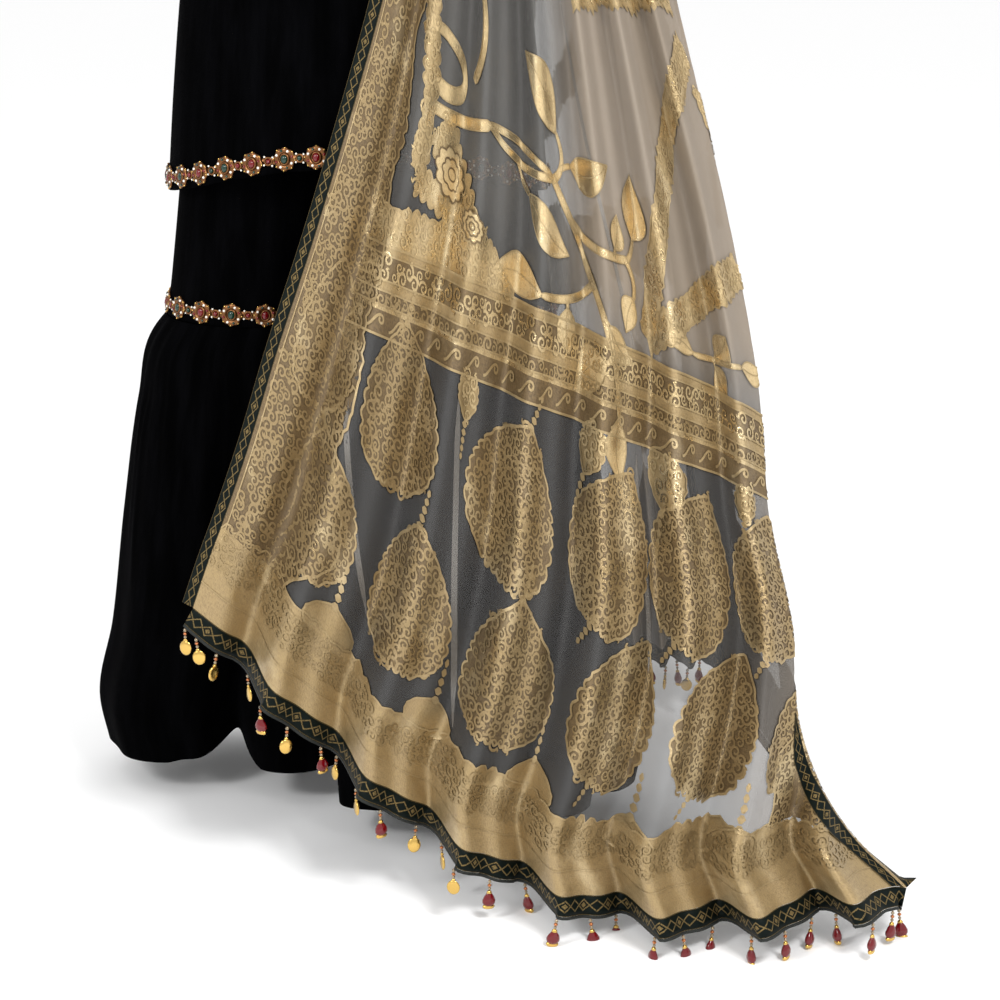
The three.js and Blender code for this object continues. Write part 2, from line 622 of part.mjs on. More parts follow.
// The flutes stand out square to the cloth: forward on the front, up on the shoulder, back behind.
const dupattaGrid = DUPATTA_SECTIONS.map((section, r) => {
  const below = DUPATTA_SECTIONS[Math.max(0, r - 1)];
  const above = DUPATTA_SECTIONS[Math.min(DUPATTA_SECTIONS.length - 1, r + 1)];
  const runY = (above.ly + above.ry - below.ly - below.ry) / 2;
  const runH = (above.lh + above.rh - below.lh - below.rh) / 2;
  const run = Math.hypot(runY, runH);
  return Array.from({ length: DUPATTA_COLUMNS + 1 }, (_, k) => {
    const p = fallPoint(section, k / DUPATTA_COLUMNS);
    return point(p.x, p.y - p.wave * runH / run, p.height + p.wave * runY / run);
  });
});
const dupattaNormals = gridNormals(dupattaGrid, false);

// One stretch of the dupatta, a seam gap short of the next one.
function stretch(name, from, to) {
  const grid = dupattaGrid.slice(from, to + 1).map((row) => row.map((p) => p.clone()));
  const normals = dupattaNormals.slice(from, to + 1);
  if (to < DUPATTA_SECTIONS.length - 1) {
    const end = grid.length - 1;
    grid[end].forEach((p, c) => p.add(grid[end - 1][c].clone().sub(p).setLength(SEAM_GAP)));
  }
  addPiece(name, shell(moved(grid, normals, NET / 2), moved(grid, normals, -NET / 2), false), GOLD_NET);
  return { grid, normals };
}

const frontFall = stretch('dupatta_front_fall', 0, SHOULDER_FROM);
stretch('dupatta_shoulder', SHOULDER_FROM, SHOULDER_TO);
const backFall = stretch('dupatta_back_fall', SHOULDER_TO, DUPATTA_SECTIONS.length - 1);

// A trim is sewn edge to edge onto the cloth: a strip from an edge line, running outwards.
function trim(name, edge, away, wide, normals) {
  const grid = [edge.map((p, k) => p.clone().addScaledVector(away[k], TRIM_GAP)),
    edge.map((p, k) => p.clone().addScaledVector(away[k], TRIM_GAP + wide))];
  const halves = [1, -1].map((face) => grid.map((row) => row.map((p, k) => (
    p.clone().addScaledVector(normals[k], face * TRIM_THICK / 2)))));
  addPiece(name, shell(halves[0], halves[1], false), GREEN_TRIM);
  return grid[1];
}

// The way off an edge, square to it, from the cloth's points beside it.
function awayFrom(edge, beside) {
  const last = edge.length - 1;
  return edge.map((p, k) => {
    const along = edge[Math.min(last, k + 1)].clone().sub(edge[Math.max(0, k - 1)]).normalize();
    const away = p.clone().sub(beside[k]);
    return away.addScaledVector(along, -away.dot(along)).normalize();
  });
}

function sideEdge(fall, column, beside) {
  const edge = fall.grid.map((row) => row[column]);
  const away = awayFrom(edge, fall.grid.map((row) => row[beside]));
  const normals = fall.normals.map((row) => row[column]);
  return { edge, away, normals };
}

function lowerEdge(fall, row, beside) {
  const edge = fall.grid[row];
  return { edge, away: awayFrom(edge, fall.grid[beside]), normals: fall.normals[row] };
}

function sideTrim(name, fall, column, beside) {
  const { edge, away, normals } = sideEdge(fall, column, beside);
  trim(name, edge, away, TRIM_WIDE * 0.7, normals);
}

const edgeColumn = DUPATTA_COLUMNS;
sideTrim('trim_front_inner', frontFall, 0, 1);
sideTrim('trim_front_outer', frontFall, edgeColumn, edgeColumn - 1);
sideTrim('trim_back_inner', backFall, 0, 1);
sideTrim('trim_back_outer', backFall, edgeColumn, edgeColumn - 1);
const backLast = backFall.grid.length - 1;
const frontLow = lowerEdge(frontFall, 0, 1);
const backLow = lowerEdge(backFall, backLast, backLast - 1);
const frontHem = trim('trim_front_lower', frontLow.edge, frontLow.away, TRIM_WIDE, frontLow.normals);
const backHem = trim('trim_back_lower', backLow.edge, backLow.away, TRIM_WIDE, backLow.normals);

// ---- bead drops ---------------------------------------------------------
// Each drop is a column of square sections: a bead on its thread, and a flat pendant.
const DROP_SECTIONS = [
  { down: 0, half: 0.9 },
  { down: 0.24, half: 2.2 },
  { down: 0.46, half: 0.9 },
  { down: 0.72, half: PENDANT_WIDE / 2 },
  { down: 1, half: 0.8 },
];

// The strip and its drops are one closed shell: a drop grows from the middle of every span
// (or of as many spans, evenly chosen, as there are drops) of the strip's lower face, so its root
// is fused into it.
function dropRow(name, line, away, normals, drops) {
  const points = [];
  const faces = [];
  const add = (p) => points.push(p) - 1;
  const quad = (a, b, c, d) => faces.push([a, b, c], [a, c, d]);
  const rootHalf = DROP_SECTIONS[0].half;
  const stations = [];
  const spans = line.length - 1;
  line.forEach((at, k) => {
    stations.push({ at, up: away[k], out: normals[k], drop: false });
    if (k < spans && Math.floor((k + 1) * drops / spans) > Math.floor(k * drops / spans)) {
      const along = line[k + 1].clone().sub(at).normalize();
      const up = away[k].clone().lerp(away[k + 1], 0.5).normalize();
      const out = normals[k].clone().lerp(normals[k + 1], 0.5).normalize();
      const middle = at.clone().lerp(line[k + 1], 0.5);
      stations.push({ at: middle.clone().addScaledVector(along, -rootHalf), up, out, drop: true });
      stations.push({ at: middle.addScaledVector(along, rootHalf), up, out, drop: false });
    }
  });
  const corners = stations.map(({ at, up, out }) => {
    const put = (down, face) => add(at.clone().addScaledVector(up, down).addScaledVector(out, face * rootHalf));
    const low = TRIM_GAP + STRIP_TALL;
    return { topOut: put(TRIM_GAP, 1), topIn: put(TRIM_GAP, -1), lowOut: put(low, 1), lowIn: put(low, -1) };
  });
  for (let k = 0; k < corners.length - 1; k += 1) {
    const a = corners[k];
    const b = corners[k + 1];
    quad(a.topOut, a.topIn, b.topIn, b.topOut);
    quad(a.topOut, b.topOut, b.lowOut, a.lowOut);
    quad(a.topIn, a.lowIn, b.lowIn, b.topIn);
    if (stations[k].drop) {
      hangDrop(stations[k], [a.lowOut, b.lowOut, b.lowIn, a.lowIn], points, add, quad);
    } else {
      quad(a.lowOut, b.lowOut, b.lowIn, a.lowIn);
    }
  }
  const first = corners[0];
  const last = corners[corners.length - 1];
  quad(first.topOut, first.lowOut, first.lowIn, first.topIn);
  quad(last.topOut, last.topIn, last.lowIn, last.lowOut);
  addPiece(name, closedGeometry(points, faces), DROP_GOLD);
}

// Drops hang plumb from the strip, turned with it.
function hangDrop(spot, root, points, add, quad) {
  const centre = root.reduce((sum, k) => sum.add(points[k]), new THREE.Vector3()).divideScalar(4);
  const arms = root.map((k) => points[k].clone().sub(centre));
  let ring = root;
  DROP_SECTIONS.slice(1).forEach(({ down, half }) => {
    const flatten = half > 3 ? 0.45 : 1;
    const next = arms.map((arm) => {
      const across = new THREE.Vector3(arm.x, arm.y, 0).setLength(half * Math.SQRT2);
      const depth = across.dot(spot.out);
      across.addScaledVector(spot.out, -depth * (1 - flatten)).setZ(0);
      return add(centre.clone().add(across).add(new THREE.Vector3(0, 0, -down * DROP_LENGTH)));
    });
    for (let k = 0; k < 4; k += 1) {
      quad(ring[k], ring[(k + 1) % 4], next[(k + 1) % 4], next[k]);
    }
    ring = next;
  });
  quad(ring[0], ring[1], ring[2], ring[3]);
}

dropRow('drops_front', frontHem, frontLow.away, frontLow.normals, FRONT_DROPS);
dropRow('drops_back', backHem, backLow.away, backLow.normals, BACK_DROPS);

export default suit;
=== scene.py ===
import bpy
import math
import numpy as np
from mathutils import Matrix, Vector


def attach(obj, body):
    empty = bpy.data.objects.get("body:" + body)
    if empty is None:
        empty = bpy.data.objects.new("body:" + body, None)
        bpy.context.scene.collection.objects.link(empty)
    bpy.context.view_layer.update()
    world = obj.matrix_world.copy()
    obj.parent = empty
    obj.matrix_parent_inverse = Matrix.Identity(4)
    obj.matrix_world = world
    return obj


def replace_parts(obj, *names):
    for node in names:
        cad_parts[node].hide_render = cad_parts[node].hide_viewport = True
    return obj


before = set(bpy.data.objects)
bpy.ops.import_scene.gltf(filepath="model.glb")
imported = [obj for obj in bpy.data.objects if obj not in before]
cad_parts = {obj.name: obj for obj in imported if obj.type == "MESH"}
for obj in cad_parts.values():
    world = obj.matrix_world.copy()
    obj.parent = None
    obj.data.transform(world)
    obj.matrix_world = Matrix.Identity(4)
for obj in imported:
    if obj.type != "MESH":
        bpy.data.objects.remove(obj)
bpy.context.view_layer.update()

# ---- sizes ---------------------------------------------------------------
# Millimetres in the tables, metres everywhere else. Heights are above the hem line of the flares.
MM = 0.001
NECK_HEIGHT = 1.410


def place(x, y, height):
    """Points of the row frame from millimetres, as an array of (x, y, z) in metres."""
    x, y, height = np.broadcast_arrays(x, y, height)
    return np.stack([x * MM, y * MM, height * MM - NECK_HEIGHT], axis=-1)


def smooth(knots, values, where):
    """Cubic through the values of a short table."""
    knots = np.asarray(knots, float)
    values = np.asarray(values, float)
    where = np.asarray(where, float)
    slopes = np.gradient(values, knots)
    k = np.clip(np.searchsorted(knots, where) - 1, 0, len(knots) - 2)
    gap = knots[k + 1] - knots[k]
    t = (where - knots[k]) / gap
    low = (2 * t**3 - 3 * t**2 + 1) * values[k] + (t**3 - 2 * t**2 + t) * gap * slopes[k]
    high = (3 * t**2 - 2 * t**3) * values[k + 1] + (t**3 - t**2) * gap * slopes[k + 1]
    return low + high


def columns_of(rows, names):
    return {name: np.array([row[k] for row in rows], float) for k, name in enumerate(names)}


def unit(vectors):
    return vectors / np.maximum(np.linalg.norm(vectors, axis=-1, keepdims=True), 1e-12)


# ---- dupatta: its fall and its own coordinates ----------------------------
DUPATTA = columns_of(
    [
        (-165, -218, 258, 558, -374, 14, 122, 88, 30, 0.00),
        (-149, -216, 304, 508, -366, 60, 114, 82, 30, 0.03),
        (-127, -210, 362, 472, -356, 112, 104, 74, 28, 0.10),
        (-102, -202, 434, 448, -338, 180, 92, 62, 26, 0.16),
        (-74, -192, 524, 442, -312, 270, 74, 48, 23, 0.18),
        (-36, -182, 636, 420, -275, 375, 56, 34, 19, 0.18),
        (6, -176, 770, 409, -238, 503, 40, 26, 16, 0.17),
        (36, -172, 874, 378, -200, 665, 28, 20, 13, 0.15),
        (68, -172, 1002, 326, -168, 873, 12, 14, 11, 0.12),
        (93, -170, 1132, 286, -150, 1045, 2, 12, 10, 0.07),
        (108, -152, 1252, 252, -132, 1205, 0, 10, 9, 0.03),
        (117, -104, 1350, 228, -106, 1316, 0, 4, 7, 0),
        (120, -52, 1405, 212, -54, 1383, 0, 0, 5, 0),
        (121, 0, 1415.2, 209, 0, 1396.2, 0, 0, 4, 0),
        (120, 54, 1405, 214, 54, 1382, 0, 0, 5, 0),
        (120, 108, 1342, 228, 106, 1316, 0, 0, 7, 0),
        (118, 156, 1224, 250, 134, 1194, 0, 0, 9, 0),
        (122, 172, 1040, 284, 156, 1010, 0, 0, 11, 0),
        (144, 194, 780, 334, 182, 750, 2, -2, 14, 0),
        (168, 230, 490, 388, 216, 450, 8, -8, 18, 0),
        (184, 243, 260, 424, 236, 200, 16, -11, 16, 0),
        (196, 248, 116, 444, 246, 52, 20, -12, 16, 0),
    ],
    ("lx", "ly", "lh", "rx", "ry", "rh", "sag", "bow", "flute", "turn"),
)
DUPATTA_WIDE = 1.0
FLUTES = 7.5
FLUTE_START = 0.79
FLUTE_LEAN = 0.35
TURN_RADIUS = 40
TURN_INWARD = 0.5
SHOULDER_ROW = 13
FINE_ROWS = 700
FINE_COLUMNS = 420


def flute_wave(share):
    turn = 2 * np.pi * (FLUTES * share + FLUTE_START)
    return FLUTE_LEAN * np.sin(2 * turn) - np.sin(turn)


class Cloth:
    """The dupatta as it hangs: a fine net of points, found by the cloth's own two lengths."""

    def __init__(self):
        rows = len(DUPATTA["lx"])
        self.b = np.linspace(0, rows - 1, FINE_ROWS)
        self.a = np.linspace(0, 1, FINE_COLUMNS)
        s = {name: smooth(np.arange(rows), DUPATTA[name], self.b) for name in DUPATTA}
        s["turn"] = np.clip(s["turn"], 0, 1)
        self.turn = s["turn"]
        edges = [np.stack([s[k + "x"], s[k + "y"], s[k + "h"]], -1) * MM for k in "lr"]
        runs = [self.lengths(edge) for edge in edges]
        end = (runs[0][-1] + runs[1][-1]) / 2
        self.runs = [self.ease_back(run, end) for run in runs]
        self.points = self.hang(s)
        self.normals = self.square_to(self.points)
        lengths = self.reach_of(self.a[None, :], self.turn[:, None])
        self.v = self.runs[0][:, None] * (1 - lengths) + self.runs[1][:, None] * lengths

    @staticmethod
    def lengths(line):
        steps = np.linalg.norm(np.diff(line, axis=0), axis=1)
        return np.concatenate([[0], np.cumsum(steps)])

    def ease_back(self, run, end):
        """Lengths behind the shoulder eased so that the back's lower edge is one straight line."""
        top = np.interp(SHOULDER_ROW, self.b, run)
        behind = np.maximum(0, run - top)
        return np.minimum(run, top) + behind * (end - top) / (run[-1] - top)

    @staticmethod
    def reach_of(a, turn):
        return np.minimum(1, a / (1 - turn))

    def hang(self, s):
        share = self.a[None, :]
        s = {name: s[name][:, None] for name in s}
        face = 1 - s["turn"]
        reach = np.minimum(1, share / face)
        sag = s["sag"] * np.sin(np.pi * reach**0.85) ** 1.4
        bow = s["bow"] * np.sin(np.pi * reach**1.9)
        ends = np.clip(np.minimum(share / 0.06, (face - share) / 0.06), 0, 1)
        behind = np.maximum(0, share - face) * DUPATTA_WIDE * 900
        softly = behind**2 / (behind + TURN_RADIUS)
        x = s["lx"] + (s["rx"] - s["lx"]) * reach - TURN_INWARD * softly
        y = s["ly"] + (s["ry"] - s["ly"]) * reach - bow + 0.85 * behind
        height = s["lh"] + (s["rh"] - s["lh"]) * reach - sag
        wave = s["flute"] * flute_wave(share) * ends
        run_y = np.gradient((s["ly"] + s["ry"])[:, 0])[:, None]
        run_h = np.gradient((s["lh"] + s["rh"])[:, 0])[:, None]
        run = np.hypot(run_y, run_h)
        return place(x, y - wave * run_h / run, height + wave * run_y / run)

    @staticmethod
    def square_to(points):
        down = np.gradient(points, axis=0)
        across = np.gradient(points, axis=1)
        return unit(np.cross(across, down))

    def row_at(self, u, v):
        """The place along the fall, from the cloth's own lengths."""
        a = np.clip(u / DUPATTA_WIDE, 0, 1)
        low = np.zeros_like(a)
        high = np.full_like(a, FINE_ROWS - 1.0)
        steps = np.arange(FINE_ROWS)
        for _ in range(16):
            middle = (low + high) / 2
            turn = np.interp(middle, steps, self.turn)
            reach = self.reach_of(a, turn)
            runs = [np.interp(middle, steps, run) for run in self.runs]
            short = runs[0] * (1 - reach) + runs[1] * reach < v
            low = np.where(short, middle, low)
            high = np.where(short, high, middle)
        return (low + high) / 2

    def look_up(self, field, u, v):
        row = np.clip(self.row_at(u, v), 0, FINE_ROWS - 1.001)
        column = np.clip(u / DUPATTA_WIDE, 0, 1) * (FINE_COLUMNS - 1)
        column = np.minimum(column, FINE_COLUMNS - 1.001)
        r, c = row.astype(int), column.astype(int)
        fr, fc = (row - r)[..., None], (column - c)[..., None]
        near = field[r, c] * (1 - fc) + field[r, c + 1] * fc
        far = field[r + 1, c] * (1 - fc) + field[r + 1, c + 1] * fc
        return near * (1 - fr) + far * fr

    def drape(self, u, v, lift=0.0):
        """Points of the worn cloth for flat ones, lifted off its face."""
        u, v, lift = (np.asarray(k, float) for k in np.broadcast_arrays(u, v, lift))
        return self.look_up(self.points, u, v) + unit(self.look_up(self.normals, u, v)) * lift[..., None]


cloth = Cloth()

# ---- building pieces -------------------------------------------------------
def piece_from(name, points, faces, uvs, material, smooth_faces=True):
    """A named mesh of the suit, with its own flat lengths as its UV map."""
    mesh = bpy.data.meshes.new(name)
    mesh.from_pydata(np.asarray(points).tolist(), [], [list(map(int, f)) for f in faces])
    layer = mesh.uv_layers.new(name="flat")
    layer.data.foreach_set("uv", np.concatenate([np.asarray(uv, float).ravel() for uv in uvs]))
    mesh.polygons.foreach_set("use_smooth", [smooth_faces] * len(mesh.polygons))
    mesh.materials.append(material)
    mesh.update()
    obj = bpy.data.objects.new(name, mesh)
    bpy.context.scene.collection.objects.link(obj)
    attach(obj, "root")
    return obj


def grid_cells(rows, columns):
    """The corners of each cell of a grid, as (row, column) pairs."""
    r, c = np.meshgrid(np.arange(rows - 1), np.arange(columns - 1), indexing="ij")
    r, c = r.ravel(), c.ravel()
    return np.stack([np.stack([r, c], -1), np.stack([r, c + 1], -1),
                     np.stack([r + 1, c + 1], -1), np.stack([r + 1, c], -1)], 1)


def grid_normals(grid, wraps):
    if wraps:
        wide = np.concatenate([grid[:, -2:-1], grid, grid[:, 1:2]], axis=1)
        across = (wide[:, 2:] - wide[:, :-2]) / 2
    else:
        across = np.gradient(grid, axis=1)
    return unit(np.cross(across, np.gradient(grid, axis=0)))


def cloth_shell(name, grid, wall, uv, material, wraps=False, inner=None):
    """Thin cloth: an outer grid, an inner one a wall's thickness in, and rims that close them.
    A grid that wraps repeats its first column as its last."""
    rows, columns = grid.shape[:2]
    if inner is None:
        normals = grid_normals(grid, wraps)
        middle = grid.mean(axis=(0, 1))
        if wraps and np.sum((grid - middle) * normals) < 0:
            normals = -normals
        inner = grid - normals * wall
    real = columns - 1 if wraps else columns
    number = np.arange(2 * rows * real).reshape(2, rows, real)
    pick = lambda layer, cells: number[layer][cells[..., 0], cells[..., 1] % real]
    cells = grid_cells(rows, columns)
    faces = [pick(0, cells), pick(1, cells)[:, ::-1]]
    uvs = [uv[cells[..., 0], cells[..., 1]], uv[cells[..., 0], cells[..., 1]][:, ::-1]]
    rims = [np.stack([np.zeros(columns, int), np.arange(columns)], -1)[::-1],
            np.stack([np.full(columns, rows - 1), np.arange(columns)], -1)]
    if not wraps:
        rims.append(np.stack([np.arange(rows), np.zeros(rows, int)], -1))
        rims.append(np.stack([np.arange(rows), np.full(rows, columns - 1)], -1)[::-1])
    for rim in rims:
        near, far = rim[:-1], rim[1:]
        faces.append(np.stack([pick(0, near), pick(0, far), pick(1, far), pick(1, near)], -1))
        flat = uv[rim[:, 0], rim[:, 1]]
        uvs.append(np.stack([flat[:-1], flat[1:], flat[1:], flat[:-1]], 1))
    points = np.concatenate([grid[:, :real].reshape(-1, 3), inner[:, :real].reshape(-1, 3)])
    faces = np.concatenate(faces)
    corners = points[faces]
    volume = np.sum(corners[:, 0] * np.cross(corners[:, 1], corners[:, 2]))
    volume += np.sum(corners[:, 0] * np.cross(corners[:, 2], corners[:, 3]))
    uvs = np.concatenate(uvs)
    if volume < 0:
        faces, uvs = faces[:, ::-1], uvs[:, ::-1]
    return piece_from(name, points, faces, [uvs], material)


def lengths_of(line):
    steps = np.linalg.norm(np.diff(line, axis=0), axis=1)
    return np.concatenate([[0], np.cumsum(steps)])


def flat_lengths(grid):
    """A grid's own lengths in metres: along its middle row and up its middle column."""
    across = lengths_of(grid[grid.shape[0] // 2])
    up = lengths_of(grid[:, grid.shape[1] // 2])
    return np.stack(np.meshgrid(across, up), -1)


class Flat:
    """Motifs laid out flat on the cloth, in its own two lengths."""

    def __init__(self):
        self.points = []
        self.faces = []
        self.count = 0

    def add(self, points, faces):
        points = np.asarray(points, float).reshape(-1, 2)
        self.points.append(points)
        self.faces += [[int(k) + self.count for k in face] for face in faces]
        self.count += len(points)

    def grid(self, points):
        rows, columns = points.shape[:2]
        cells = grid_cells(rows, columns)
        self.add(points, cells[..., 0] * columns + cells[..., 1])

    def ribbon(self, line, width, closed=False):
        line = np.asarray(line, float)
        if closed:
            line = np.concatenate([line, line[:1]])
        tangent = np.gradient(line, axis=0)
        if closed:
            tangent[0] = tangent[-1] = line[1] - line[-2]
        side = unit(np.stack([-tangent[:, 1], tangent[:, 0]], -1))
        half = np.broadcast_to(np.asarray(width, float) / 2, len(line))[:, None]
        self.grid(np.stack([line + side * half, line - side * half], axis=1))

    def flat(self):
        return np.concatenate(self.points)

    def hang(self, name, lift, material):
        """The motifs as raised figures on the worn cloth."""
        flat = self.flat()
        points = cloth.drape(flat[:, 0], flat[:, 1], lift)
        order = [flat[face] for face in self.faces]
        return piece_from(name, points, self.faces, order, material)


# ---- node trees --------------------------------------------------------------
class Tree:
    """A few words for putting nodes together."""

    def __init__(self, tree):
        self.tree = tree

    def add(self, kind, **settings):
        node = self.tree.nodes.new(kind)
        for key, value in settings.items():
            setattr(node, key, value)
        return node

    def join(self, value, socket):
        if isinstance(value, bpy.types.NodeSocket):
            self.tree.links.new(value, socket)
        else:
            socket.default_value = value

    def sum(self, operation, *values):
        node = self.add("ShaderNodeMath", operation=operation)
        for value, socket in zip(values, node.inputs):
            self.join(value, socket)
        return node.outputs[0]

    def mix(self, share, low, high):
        node = self.add("ShaderNodeMix", data_type="RGBA")
        for value, socket in zip((share, low, high), (node.inputs[0], node.inputs[6], node.inputs[7])):
            self.join(value, socket)
        return node.outputs[2]

    def noise(self, vector, scale, detail=3.0, spread=0.5):
        node = self.add("ShaderNodeTexNoise")
        self.join(vector, node.inputs["Vector"])
        self.join(scale, node.inputs["Scale"])
        self.join(detail, node.inputs["Detail"])
        self.join(spread, node.inputs["Roughness"])
        return node.outputs["Fac"]

    def stretch(self, vector, across, along, up=1.0):
        node = self.add("ShaderNodeVectorMath", operation="MULTIPLY")
        self.join(vector, node.inputs[0])
        node.inputs[1].default_value = (across, along, up)
        return node.outputs[0]

    def band(self, value, low, high):
        """0 below low, 1 above high."""
        node = self.add("ShaderNodeMapRange", interpolation_type="SMOOTHSTEP")
        self.join(value, node.inputs["Value"])
        self.join(low, node.inputs["From Min"])
        self.join(high, node.inputs["From Max"])
        return node.outputs["Result"]


def shader_group(name, inputs, outputs):
    tree = bpy.data.node_groups.new(name, "ShaderNodeTree")
    for label, kind, value in inputs:
        socket = tree.interface.new_socket(label, in_out="INPUT", socket_type=kind)
        if value is not None:
            socket.default_value = value
    for label, kind in outputs:
        tree.interface.new_socket(label, in_out="OUTPUT", socket_type=kind)
    made = Tree(tree)
    return made, made.add("NodeGroupInput").outputs, made.add("NodeGroupOutput").inputs


FLOAT, COLOUR, VECTOR = "NodeSocketFloat", "NodeSocketColor", "NodeSocketVector"


def woven_gold_group():
    """Gold weft over a tan ground: short weave marks, soft patches where more gold shows and shines,
    pale-gold patches of painted highlight in the colour, and a thread relief.
    """
    made, given, result = shader_group(
        "woven gold",
        [("Flat", VECTOR, None), ("Ground", COLOUR, (0.2, 0.13, 0.06, 1)),
         ("Gold", COLOUR, (0.6, 0.45, 0.2, 1)),
         ("Gold Share", FLOAT, 0.5), ("Mark Size", FLOAT, 1.0), ("Glint", FLOAT, 0.5)],
        [("Color", COLOUR), ("Shine", FLOAT), ("Relief", FLOAT)],
    )
    sized = made.add("ShaderNodeVectorMath", operation="SCALE")
    made.join(given["Flat"], sized.inputs[0])
    made.join(given["Mark Size"], sized.inputs["Scale"])
    flat = sized.outputs[0]
    marks = made.noise(made.stretch(flat, 900, 230), 1.0, 2.0)
    weft = made.noise(made.stretch(flat, 160, 1100), 1.0, 1.0)
    patches = made.noise(made.stretch(flat, 26, 17), 1.0, 3.0, 0.6)
    woven = made.sum("ADD", made.sum("MULTIPLY", marks, 0.6), made.sum("MULTIPLY", weft, 0.4))
    level = made.sum("ADD", made.sum("MULTIPLY", woven, 0.7), made.sum("MULTIPLY", patches, 0.3))
    edge = made.sum("SUBTRACT", 1.0, given["Gold Share"])
    share = made.band(level, made.sum("SUBTRACT", edge, 0.13), made.sum("ADD", edge, 0.13))
    # Painted highlight: soft noise patches, as strong as the Glint input, mix the colour towards pale gold
    # and add to the shine.
    painted_highlight = made.band(made.noise(made.stretch(given["Flat"], 15, 9), 1.0, 4.0, 0.62), 0.53, 0.68)
    painted_highlight = made.sum("MULTIPLY", painted_highlight, given["Glint"])
    colour = made.mix(share, given["Ground"], given["Gold"])
    made.join(made.mix(painted_highlight, colour, (0.86, 0.70, 0.43, 1)), result["Color"])
    shine = made.sum("MULTIPLY", share, made.band(patches, 0.3, 0.7))
    made.join(made.sum("MINIMUM", made.sum("ADD", shine, painted_highlight), 1.0), result["Shine"])
    made.join(woven, result["Relief"])
    return made.tree


def fine_net_group():
    """Square net: how much of it is thread at each place."""
    made, given, result = shader_group(
        "fine net",
        [("Flat", VECTOR, None), ("Cell", FLOAT, 0.0016), ("Thread", FLOAT, 0.62), ("Waver", FLOAT, 0.1)],
        [("Cover", FLOAT), ("Relief", FLOAT)],
    )
    parts = made.add("ShaderNodeSeparateXYZ")
    made.join(given["Flat"], parts.inputs[0])
    waves = []
    for axis in (0, 1):
        turn = made.sum("DIVIDE", made.sum("MULTIPLY", parts.outputs[axis], 2 * math.pi), given["Cell"])
        waves.append(made.sum("MULTIPLY", made.sum("COSINE", turn), 0.5))
    thread = made.sum("MAXIMUM", *waves)
    cloudy = made.noise(made.stretch(given["Flat"], 30, 30), 1.0, 3.0)
    uneven = made.sum("MULTIPLY", made.sum("SUBTRACT", cloudy, 0.5), given["Waver"])
    cover = made.sum("ADD", made.sum("ADD", given["Thread"], made.sum("MULTIPLY", thread, 0.05)), uneven)
    made.join(cover, result["Cover"])
    made.join(thread, result["Relief"])
    return made.tree


def nap_group():
    """Brushed pile of velvet: darker and lighter strokes of the hand."""
    made, given, result = shader_group(
        "velvet nap",
        [("Flat", VECTOR, None), ("Deep", COLOUR, (0.0004, 0.0004, 0.0005, 1)),
         ("Light", COLOUR, (0.0016, 0.0016, 0.0020, 1))],
        [("Color", COLOUR), ("Relief", FLOAT)],
    )
    strokes = made.noise(made.stretch(given["Flat"], 38, 6), 1.0, 4.0, 0.6)
    pile = made.noise(made.stretch(given["Flat"], 1400, 1400), 1.0, 1.0)
    made.join(made.mix(made.band(strokes, 0.35, 0.75), given["Deep"], given["Light"]), result["Color"])
    made.join(pile, result["Relief"])
    return made.tree


WOVEN_GOLD = woven_gold_group()
FINE_NET = fine_net_group()
NAP = nap_group()


def new_material(name):
    material = bpy.data.materials.new(name)
    material.use_nodes = True
    made = Tree(material.node_tree)
    return material, made, material.node_tree.nodes["Principled BSDF"]


def use_group(made, tree, **values):
    node = made.add("ShaderNodeGroup", node_tree=tree)
    flat = made.add("ShaderNodeUVMap", uv_map="flat")
    made.join(flat.outputs[0], node.inputs["Flat"])
    for label, value in values.items():
        made.join(value, node.inputs[label.replace("_", " ")])
    return node


def relief(made, shader, height, distance, strength=1.0):
    bump = made.add("ShaderNodeBump")
    bump.inputs["Distance"].default_value = distance
    bump.inputs["Strength"].default_value = strength
    made.join(height, bump.inputs["Height"])
    made.join(bump.outputs[0], shader.inputs["Normal"])


def plain(name, colour, roughness, metallic=0.0, coat=0.0, painted_glow=0.0):
    material, made, shader = new_material(name)
    shader.inputs["Base Color"].default_value = (*colour, 1)
    shader.inputs["Roughness"].default_value = roughness
    shader.inputs["Metallic"].default_value = metallic
    shader.inputs["Coat Weight"].default_value = coat
    # Emission in the piece's own colour makes it give off a little light: a painted glow.
    shader.inputs["Emission Color"].default_value = (*colour, 1)
    shader.inputs["Emission Strength"].default_value = painted_glow
    return material


def velvet():
    material, made, shader = new_material("black velvet")
    nap = use_group(made, NAP)
    made.join(nap.outputs["Color"], shader.inputs["Base Color"])
    shader.inputs["Roughness"].default_value = 0.9
    shader.inputs["Specular IOR Level"].default_value = 0.008
    shader.inputs["Sheen Weight"].default_value = 0.0025
    shader.inputs["Sheen Roughness"].default_value = 0.35
    shader.inputs["Sheen Tint"].default_value = (0.8, 0.8, 1, 1)
    relief(made, shader, nap.outputs["Relief"], 0.0004)
    return material


# The glint share sets how much painted highlight of pale gold lies in the material's colour.
def woven(name, ground, gold, share, size=1.0, roughness=0.5, metallic=0.35, depth=0.0006, painted_highlight_share=0.5):
    material, made, shader = new_material(name)
    cloth_of = use_group(made, WOVEN_GOLD, Ground=(*ground, 1), Gold=(*gold, 1), Gold_Share=share,
                         Mark_Size=size,
                         Glint=painted_highlight_share)
    made.join(cloth_of.outputs["Color"], shader.inputs["Base Color"])
    shine = cloth_of.outputs["Shine"]
    made.join(made.sum("SUBTRACT", roughness, made.sum("MULTIPLY", shine, 0.14)), shader.inputs["Roughness"])
    made.join(made.sum("MULTIPLY", made.sum("ADD", shine, 0.5), metallic), shader.inputs["Metallic"])
    relief(made, shader, cloth_of.outputs["Relief"], depth)
    return material


